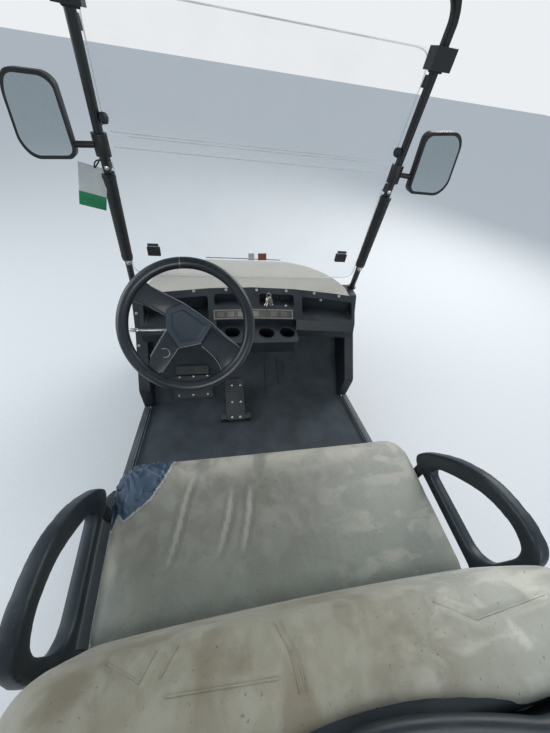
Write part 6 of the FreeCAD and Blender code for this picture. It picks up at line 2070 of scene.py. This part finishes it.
@dataclass
class BagRack:
    """The wire basket behind the backrest, its hangers, and the bag rack's tube with two straps."""

    wire: float = 0.0032
    rim: float = 0.0055
    half: float = 0.4935
    rear: float = -0.9430
    front: float = -0.8055
    low: float = 0.7395
    high: float = 0.8990
    corner: float = 0.022
    strap_x = (-0.27, 0.27)

    def ring(self, z: float, radius: float) -> Thing:
        """Bends a rounded rectangle of wire at a height."""
        points = []
        corners = (
            (self.half, self.front, 0), (-self.half, self.front, 90),
            (-self.half, self.rear, 180), (self.half, self.rear, 270),
        )
        for x, y, start in corners:
            inward = self.corner if y == self.rear else -self.corner
            middle = (x - math.copysign(self.corner, x), y + inward)
            for step in range(4):
                turn = math.radians(start + 30 * step)
                points.append(
                    (middle[0] + self.corner * math.cos(turn), middle[1] + self.corner * math.sin(turn), z)
                )
        return Bench.tube("basket_ring", points, radius, closed=True, sides=2)

    def basket(self) -> None:
        """Welds the basket from rings and U-shaped wires."""
        parts = [self.ring(self.high, self.rim), self.ring(self.low, self.wire)]
        for share in (0.25, 0.5, 0.75):
            parts.append(self.ring(self.low + share * (self.high - self.low), self.wire))
        for step in range(25):
            x = (step / 12 - 1) * (self.half - 0.03)
            route = [
                (x, self.rear, self.high), (x, self.rear, self.low + 0.01), (x, self.rear, self.low),
                (x, self.rear + 0.01, self.low), (x, self.front - 0.01, self.low), (x, self.front, self.low),
                (x, self.front, self.low + 0.01), (x, self.front, self.high),
            ]
            parts.append(Bench.tube("basket_wire", route, self.wire, sides=1))
        for step in range(3):
            y = self.rear + (self.front - self.rear) * (step + 1) / 4
            route = [
                (-self.half, y, self.high), (-self.half, y, self.low + 0.01), (-self.half, y, self.low),
                (0.01 - self.half, y, self.low), (self.half - 0.01, y, self.low), (self.half, y, self.low),
                (self.half, y, self.low + 0.01), (self.half, y, self.high),
            ]
            parts.append(Bench.tube("basket_wire", route, self.wire, sides=1))
        Bench.fit(Bench.join("basket", parts), FRAME_PAINT, Body.CHASSIS, "frame_paint", ["bag_rack"])
        liner = Bench.block("basket_liner", (-self.half + 0.004, self.rear + 0.004, self.low + 0.002),
                            (self.half - 0.004, self.front - 0.004, self.high - 0.012), 0.012, 3)
        top = max(liner.data.polygons, key=lambda face: face.center.z * (face.normal.z > 0.9))
        Bench.pick(liner, [face.index == top.index for face in liner.data.polygons])
        bpy.ops.mesh.delete(type="FACE")
        Bench.done()
        Bench.modify(liner, "SOLIDIFY", thickness=0.0022, offset=-1.0)
        Bench.fit(liner, DARK_PLASTIC, Body.CHASSIS, "frame_paint")

    def rack(self) -> None:
        """Bends the rack's tube and bolts on the hangers."""
        low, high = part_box("bag_rack")
        x, y, z = high.x - 0.0125, low.y + 0.0125, high.z - 0.0125
        route = [
            (-x, high.y - 0.004, z), (-x, y + 0.05, z), (-x, y, z), (0.05 - x, y, z), (0, y, z),
            (x - 0.05, y, z), (x, y, z), (x, y + 0.05, z), (x, high.y - 0.004, z),
        ]
        parts = [Bench.tube("rack_tube", route, 0.0120, sides=4)]
        for side in Side:
            for foot in (0.750, 0.870):
                ends = sorted((side * (self.half - 0.02), side * (high.x - 0.004)))
                parts.append(
                    Bench.block(
                        "hanger", (ends[0], self.front - 0.030, foot),
                        (ends[1], high.y - 0.001, foot + 0.008), 0.0015
                    )
                )
        Bench.fit(Bench.join("rack_frame", parts), FRAME_PAINT, Body.CHASSIS, "frame_paint")
        bolts = []
        for side in Side:
            for foot in (0.750, 0.870):
                place = Vector((side * (self.half + 0.022), self.front - 0.015, foot + 0.008))
                bolts.append((place, Vector((0, 0, 1))))
        Bench.fit(
            Fasteners.set_out("rack_bolts", Fasteners.bolt(0.0075), bolts), BRIGHT_METAL, Body.CHASSIS,
            "frame_paint"
        )

    def straps(self) -> None:
        """Loops the two bag straps over the rack's tube, with their blank buckles."""
        low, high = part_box("bag_rack")
        y, z = low.y + 0.0125, high.z - 0.0125
        reach = 0.0142
        webs, buckles = [], []
        for x in self.strap_x:
            outline = []
            for degrees in range(0, 360, 30):
                turn = math.radians(degrees)
                outline.append((x - 0.019, y + reach * math.cos(turn), z + reach * math.sin(turn)))
            webs.append(Bench.slab("strap_loop", outline, (0.038, 0, 0), 0.0008))
            fall = [
                (x - 0.019, y + 0.0155, z), (x - 0.019, y + 0.0135, z),
                (x - 0.019, y + 0.019, z - 0.11), (x - 0.019, y + 0.022, z - 0.19),
                (x - 0.019, y + 0.024, z - 0.19), (x - 0.019, y + 0.021, z - 0.11),
            ]
            webs.append(Bench.slab("strap_end", fall, (0.038, 0, 0), 0.0004))
            buckles.append(
                Bench.block(
                    "buckle", (x - 0.025, y + 0.009, z - 0.085), (x + 0.025, y + 0.022, z - 0.045), 0.003, 3
                )
            )
            buckles.append(
                Bench.block(
                    "buckle_tongue", (x - 0.017, y + 0.011, z - 0.100), (x + 0.017, y + 0.020, z - 0.080),
                    0.002
                )
            )
        Bench.fit(Bench.join("bag_straps", webs), STRAP_WEB, Body.CHASSIS, "frame_paint")
        Bench.fit(Bench.join("strap_buckles", buckles), DARK_PLASTIC, Body.CHASSIS, "frame_paint")

    def build(self) -> None:
        """Builds this sub-assembly."""
        self.basket()
        self.rack()
        self.straps()


@dataclass
class Windshield:
    """The clear folding windshield: its fold lines, polished edges, clip bars and small blank plates."""

    fold_half: float = 0.486
    folds = (1.3515, 1.3600, 1.3840, 1.3925)
    edges = (
        ((-0.500, 1.357), (-0.536, 0.905), (-0.534, 0.872), (-0.510, 0.851), (0.510, 0.851), (0.534, 0.872),
         (0.536, 0.905), (0.500, 1.357)),
        ((-0.499, 1.387), (-0.484, 1.640), (-0.470, 1.674), (-0.440, 1.685), (0.440, 1.685), (0.470, 1.674),
         (0.484, 1.640), (0.499, 1.387)),
    )
    dark_line = ((205.8, 257.2), (231, 258.0), (256, 259.0), (280, 260.0))
    plates = (
        ("blank_plate_pale", 248.3, 254.2, PLATE_WHITE), ("blank_plate_orange", 258.0, 266.3, PLATE_ORANGE),
    )

    def run(self, name: str, line: Sequence[tuple[float, float]], radius: float) -> Thing:
        """Lays a bead along (x, z) corners on the windshield's inner face."""
        laid = []
        for (x0, z0), (x1, z1) in zip(line, line[1:]):
            steps = max(1, int(math.hypot(x1 - x0, z1 - z0) / 0.05))
            for step in range(steps):
                share = step / steps
                found = Survey.cast(
                    "windshield", (x0 + share * (x1 - x0), 0, z0 + share * (z1 - z0)), (0, 1, 0)
                )
                if found:
                    laid.append(found[0])
        return Bench.tube(name, laid, radius, sides=1)

    def build(self) -> None:
        """Builds this sub-assembly."""
        Bench.paint(SCREEN_CLEAR, "windshield")
        Bench.paint(CLIP_RUBBER, "windshield_clips")
        folds = [
            self.run("fold", ((-self.fold_half, z), (self.fold_half, z + 0.0001)), 0.0014)
            for z in self.folds
        ]
        Bench.fit(Bench.join("windshield_folds", folds), SCREEN_LINE, Body.CHASSIS, "screen_clear")
        edges = [self.run("edge", line, 0.0021) for line in self.edges]
        Bench.fit(Bench.join("windshield_edges", edges), SCREEN_EDGE, Body.CHASSIS, "screen_clear")
        hits = [STUDIO.land("windshield", x, y) for x, y in self.dark_line]
        dark = Bench.tube("windshield_dark_line", [hit[0] + hit[1] * 0.001 for hit in hits if hit], 0.0017)
        Bench.fit(dark, CLIP_RUBBER, Body.CHASSIS, "clip_rubber")
        for name, left, right, finish in self.plates:
            plate = Survey.sheet(
                name, "windshield", 4, 4, 0.0015, 0.002,
                lambda u, v: (STUDIO.eye, STUDIO.ray(left + u * (right - left), 253.3 + v * 6.7)))
            Bench.fit(plate, finish, Body.CHASSIS, "clip_rubber")
        low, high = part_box("windshield_clips")
        log.info("windshield clips from %s to %s", low, high)
        bars = []
        for side in Side:
            x = side * 0.432
            found = Survey.cast("windshield", (x, 0, 1.003), (0, 1, 0))
            if found:
                place = found[0] - Vector((0, 0.006, 0))
                bars.append(
                    Bench.rod(
                        "bar", place - Vector((0.022, 0, 0)), place + Vector((0.022, 0, 0)), 0.0052, 16, 0.001
                    )
                )
        Bench.fit(Bench.join("clip_bars", bars), CLIP_RUBBER, Body.CHASSIS, "clip_rubber")


@dataclass
class Struts:
    """The roof struts, their foam sleeves, clamps, knobs and bolts, and the hanging blank tag."""

    base = (0.5274, 0.6129, 1.2)
    lean_in: float = 0.0656
    lean_back: float = 0.1563

    def centre(self, side: float, z: float) -> Vector:
        """Returns a point of a front strut's middle line at a height."""
        x, y, foot = self.base
        rise = z - foot
        return Vector((side * (x - self.lean_in * rise), y - self.lean_back * rise, z))

    def sleeves(self) -> None:
        """Slides the foam sleeves over the struts, with a band at each end."""
        sleeves, bands = [], []
        for side in Side:
            start, end = self.centre(side, 0.945), self.centre(side, 1.278)
            reach = (end - start).length
            ring = [(0.0150, 0), (0.0215, 0.001), (0.0222, 0.006)]
            ring += [
                (0.0222 - 0.0003 * (step % 2), 0.006 + (reach - 0.012) * step / 24)
                for step in range(1, 24)
            ]
            ring += [(0.0222, reach - 0.006), (0.0215, reach - 0.001), (0.0150, reach)]
            sleeves.append(Bench.lathe("sleeve", ring, start, end - start, 28))
            for share in (0.018, 0.955):
                band = [(0.0215, 0), (0.0230, 0.001), (0.0230, 0.008), (0.0215, 0.009)]
                bands.append(Bench.lathe("band", band, start.lerp(end, share), end - start, 28))
        Bench.fit(Bench.join("strut_sleeves", sleeves), SLEEVE_FOAM, Body.CHASSIS, "strut_paint")
        Bench.fit(Bench.join("sleeve_bands", bands), CLIP_RUBBER, Body.CHASSIS, "strut_paint")

    def clamps(self) -> None:
        """Fits the clamp blocks under the bends and the round knobs that hold the windshield's upper half."""
        blocks, knobs, bolts = [], [], []
        knob = [
            (0, 0), (0.007, 0), (0.007, 0.004), (0.0135, 0.006), (0.0150, 0.010), (0.0140, 0.019),
            (0.0100, 0.022), (0, 0.022)
        ]
        for side in Side:
            middle = self.centre(side, 1.667)
            along = self.centre(side, 1.7) - self.centre(side, 1.6)
            lean = along.to_track_quat("Z", "Y").to_matrix().to_4x4()
            block = Bench.block("clamp", (-0.021, -0.022, -0.026), (0.021, 0.022, 0.026), 0.004, 3)
            block.matrix_world = Matrix.Translation(middle) @ lean
            blocks.append(Bench.settle(block))
            knobs.append(
                Bench.lathe(
                    "knob", knob, self.centre(side, 1.43) - Vector((side * 0.0125, 0, 0)), (-side, -0.25, 0),
                    20
                )
            )
            for height, radius in (
                (0.933, 0.0085), (1.361, 0.0055), (1.298, 0.0055), (1.650, 0.005), (1.684, 0.005)
            ):
                out = Vector((-side * 0.25, -1, 0)).normalized()
                reach = 0.0215 if height < 1.2 or height > 1.6 else 0.0135
                bolts.append((self.centre(side, height) + out * reach, out, radius))
        Bench.fit(Bench.join("strut_clamps", blocks), CLIP_RUBBER, Body.CHASSIS, "strut_paint")
        Bench.fit(Bench.join("strut_knobs", knobs), CLIP_RUBBER, Body.CHASSIS, "strut_paint")
        for radius in (0.005, 0.0055, 0.0085):
            places = [(place, out) for place, out, size in bolts if size == radius]
            row = Fasteners.set_out(f"strut_bolts_{round(radius * 10000)}", Fasteners.bolt(radius), places)
            Bench.fit(row, BRIGHT_METAL, Body.CHASSIS, "strut_paint")

    def tag(self) -> None:
        """Hangs the blank tag with its coloured band from a ring on the left strut."""
        top, foot = Vector((-0.560, 0.588, 1.300)), Vector((-0.596, 0.584, 1.170))
        down = foot - top
        across = Vector((0.040, 0.004, -0.010))
        push = Vector((0, -0.0012, 0))

        def patch(name: str, start: float, end: float, lift: float) -> Thing:
            """Cuts a stretch of the tag."""
            corners = [top + down * start - across, top + down * start + across, top + down * end + across,
                       top + down * end - across]
            return Bench.slab(name, [corner + push * lift for corner in corners], push, 0.0003)

        Bench.fit(patch("tag_card", 0.0, 1.0, 0.0), TAG_WHITE, Body.CHASSIS, "strut_paint")
        Bench.fit(patch("tag_band", 0.66, 0.995, 0.8), TAG_GREEN, Body.CHASSIS, "strut_paint")
        middle = self.centre(-1, 1.318)
        lean = self.centre(-1, 1.4) - self.centre(-1, 1.3)
        section = [
            (0.0150 + 0.0022 * math.cos(t), 0.0022 * math.sin(t))
            for t in (0, 1.05, 2.1, 3.14, 4.2, 5.2)
        ]
        ring = Bench.lathe("ring", section, middle, lean, 28)
        route = [
            middle + Vector((-0.014, -0.004, 0)), middle + Vector((-0.030, -0.010, -0.004)),
            top + Vector((0.002, -0.003, -0.010)), middle + Vector((-0.022, -0.012, -0.010)),
        ]
        loop = Bench.tube("loop", route, 0.0022, closed=True)
        Bench.fit(Bench.join("tag_ring", [ring, loop]), CLIP_RUBBER, Body.CHASSIS, "strut_paint")

    def build(self) -> None:
        """Builds this sub-assembly."""
        Bench.paint(STRUT_PAINT, "front_struts", "rear_struts")
        self.sleeves()
        self.clamps()
        self.tag()


@dataclass
class Mirrors:
    """The two side mirrors in their rounded cases."""

    bevel: float = 0.0045

    def build(self) -> None:
        """Rounds the CAD cases and dresses the glasses."""
        case = Bench.from_node("mirror_frames", "mirror_cases")
        Bench.soften(case, self.bevel, 3, 42)
        Bench.fit(case, MIRROR_CASE, Body.CHASSIS, "mirror_case", ["mirror_frames"])
        Bench.paint(MIRROR_FACE, "mirror_glasses")


@dataclass
class Cowl:
    """The glossy front cowl with its lamps' rims, and the bumpers' bolts."""

    lamp_x: float = 0.335
    lamp_z: float = 0.640
    lamp_radius: float = 0.062

    def rims(
        self, name: str, carriers: tuple[str, ...], x: float, z: float, radius: float, heading: float
    ) -> None:
        """Runs a rim round each lamp of a pair, along the surface that carries it."""
        rims = []
        for side in Side:
            route = []
            for step in range(28):
                turn = 2 * math.pi * step / 28
                start = (side * x + radius * math.cos(turn), -2.0 * heading, z + radius * math.sin(turn))
                hits = [
                    hit
                    for hit in (Survey.cast(node, start, (0, heading, 0)) for node in carriers) if hit
                ]
                if hits:
                    route.append(min(hits, key=lambda hit: abs(hit[0].y + 2 * heading))[0])
            rims.append(Bench.tube(name, route, 0.0042, closed=True, sides=2))
        Bench.fit(
            Bench.join(name, rims), DARK_PLASTIC, Body.CHASSIS, "lamp_clear" if heading < 0 else "lamp_red"
        )

    def bolts(self) -> None:
        """Bolts the two bumpers on."""
        places = []
        low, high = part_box("bumpers")
        for x in (-0.16, 0.16):
            for start, heading in (((x, 2.0, 0.30), (0, -1, 0)), ((x, -2.0, 0.33), (0, 1, 0))):
                found = Survey.cast("bumpers", start, heading)
                if found:
                    places.append(found)
        Bench.fit(
            Fasteners.set_out("bumper_bolts", Fasteners.bolt(0.008), places), BRIGHT_METAL, Body.CHASSIS,
            "frame_paint"
        )
        log.info("bumpers from %s to %s", low, high)

    def build(self) -> None:
        """Builds this sub-assembly."""
        Bench.paint(BODY_PAINT, "front_cowl")
        Bench.paint(LAMP_CLEAR, "headlights")
        self.rims(
            "headlight_rims", ("front_cowl", "headlights"), self.lamp_x, self.lamp_z,
            self.lamp_radius + 0.001, -1
        )
        self.bolts()


@dataclass
class RearBody:
    """The rear body with its lamps, seams, charging flap and the black trims on its shoulders."""

    trim_x: float = 0.50
    trim_z: float = 0.45
    trim_rear: float = -0.625

    def build(self) -> None:
        """Builds this sub-assembly."""
        Bench.paint(BODY_PAINT, "rear_body")
        Bench.paint(DASH_PLASTIC, "bag_well")
        Bench.paint(LAMP_RED, "tail_lights")
        low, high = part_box("tail_lights")
        z = (low.z + high.z) / 2
        x = high.x - (high.z - low.z) / 2
        rims = []
        for side in Side:
            rim = [
                (0.0355, -0.001), (0.0400, -0.001), (0.0410, 0.002),
                (0.0400, 0.0055), (0.0365, 0.0060), (0.0355, 0.004)
            ]
            rims.append(Bench.lathe("rim", rim, (side * x, low.y + 0.006, z), (0, -1, 0), 40))
        Bench.fit(Bench.join("tail_light_rims", rims), DARK_PLASTIC, Body.CHASSIS, "lamp_red")
        flap = self.flap()
        if flap:
            Bench.fit(flap, DARK_PLASTIC, Body.CHASSIS, "body_paint")
        self.seams()
        self.shoulders()

    def shoulders(self) -> None:
        """Lays the black trims on the pod's shoulders, under the hip restraints."""
        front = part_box("rear_body")[1].y - 0.010
        trims = []
        for side in Side:
            def aim(u: float, v: float, side: Side = side) -> tuple[Point, Point]:
                """Points at the shoulder, from above it to its outer side."""
                angle = math.radians(72 - 46 * v)
                out, up = side * math.cos(angle), math.sin(angle)
                y = front + (self.trim_rear - front) * u
                return (self.trim_x * side + 0.25 * out, y, self.trim_z + 0.25 * up), (-out, 0, -up)

            trims.append(Survey.sheet("shoulder_trim", "rear_body", 40, 10, 0.0012, 0.0024, aim))
        Bench.fit(Bench.join("shoulder_trims", trims), SHELL_PLASTIC, Body.CHASSIS, "dash_plastic")

    def flap(self) -> Thing | None:
        """Builds the charging socket's flap on the passenger's side of the seat pod."""
        found = Survey.cast("rear_body", (2.0, -0.335, 0.455), (-1, 0, 0))
        if not found:
            return None
        place, normal = found
        turn = Matrix.Translation(place) @ normal.to_track_quat("Z", "Y").to_matrix().to_4x4()
        surround = Bench.block("flap_frame", (-0.052, -0.045, -0.004), (0.052, 0.045, 0.004), 0.003, 3)
        lid = Bench.block("flap_lid", (-0.042, -0.036, 0.002), (0.042, 0.036, 0.0075), 0.003, 3)
        grip = Bench.block("flap_grip", (-0.014, -0.036, 0.006), (0.014, -0.029, 0.0105), 0.002, 2)
        flap = Bench.join("charging_flap", [surround, lid, grip])
        flap.matrix_world = turn
        return Bench.settle(flap)

    def seams(self) -> None:
        """Runs the dark joint between the seat pod and the rear wings along both sides."""
        runs = []
        for side in Side:
            route = []
            for step in range(13):
                z = 0.275 + 0.27 * step / 12
                found = Survey.cast("rear_body", (side * 2.0, -0.500, z), (-side, 0, 0))
                if found:
                    route.append(found[0] - found[1] * 0.0008)
            if len(route) > 3:
                runs.append(Bench.tube("seam", route, 0.0022, sides=1))
        if runs:
            Bench.fit(Bench.join("body_seams", runs), DARK_PLASTIC, Body.CHASSIS, "body_paint")


@dataclass
class Roof:
    """The moulded roof with rounded edges and raised ribs."""

    bevel: float = 0.007
    rib_x = (-0.39, -0.20, 0.20, 0.39)

    def ribs(self) -> None:
        """Raises four long ribs on the crown."""
        low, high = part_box("roof")
        ribs = []
        for x in self.rib_x:
            def shape(u: float, v: float, middle: float = x) -> Point:
                """Returns a point of a rib's skin."""
                y = low.y + 0.16 + u * (high.y - low.y - 0.32)
                ends = min(1.0, 10 * u, 10 * (1 - u))
                width = 0.030 * (0.35 + 0.65 * math.sqrt(ends))
                place = Survey.cast("roof", (middle + (2 * v - 1) * width, y, 3), (0, 0, -1))
                rise = 0.0055 * ends * math.sqrt(max(0.0, 1 - abs(2 * v - 1) ** 3)) - 0.0012
                return place[0] + Vector((0, 0, rise))

            ribs.append(Bench.form("rib", 40, 12, shape))
        Bench.fit(Bench.join("roof_ribs", ribs), ROOF_PLASTIC, Body.CHASSIS, "roof_plastic")

    def build(self) -> None:
        """Rounds the CAD roof's edges and adds its ribs."""
        shell = Bench.from_node("roof", "roof_shell")
        Bench.soften(shell, self.bevel, 3, 50)
        Bench.fit(shell, ROOF_PLASTIC, Body.CHASSIS, "roof_plastic", ["roof"])
        self.ribs()


ASSEMBLIES = (
    Wheels, Undercarriage, Batteries, Floor, Dash, Column, SteeringWheel, Cowl, Windshield, Struts,
    Mirrors, Roof, RearBody, BagRack, Seat, Backrest, HipRestraints,
)


def main() -> None:
    """Builds the studio and the cart's sub-assemblies."""
    logging.basicConfig(level=logging.INFO, format="%(message)s")
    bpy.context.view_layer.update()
    STUDIO.build()
    for assembly in ASSEMBLIES:
        made = assembly()
        made.build()
        log.info("built %s", type(made).__name__)


if __name__ == "__main__":
    main()
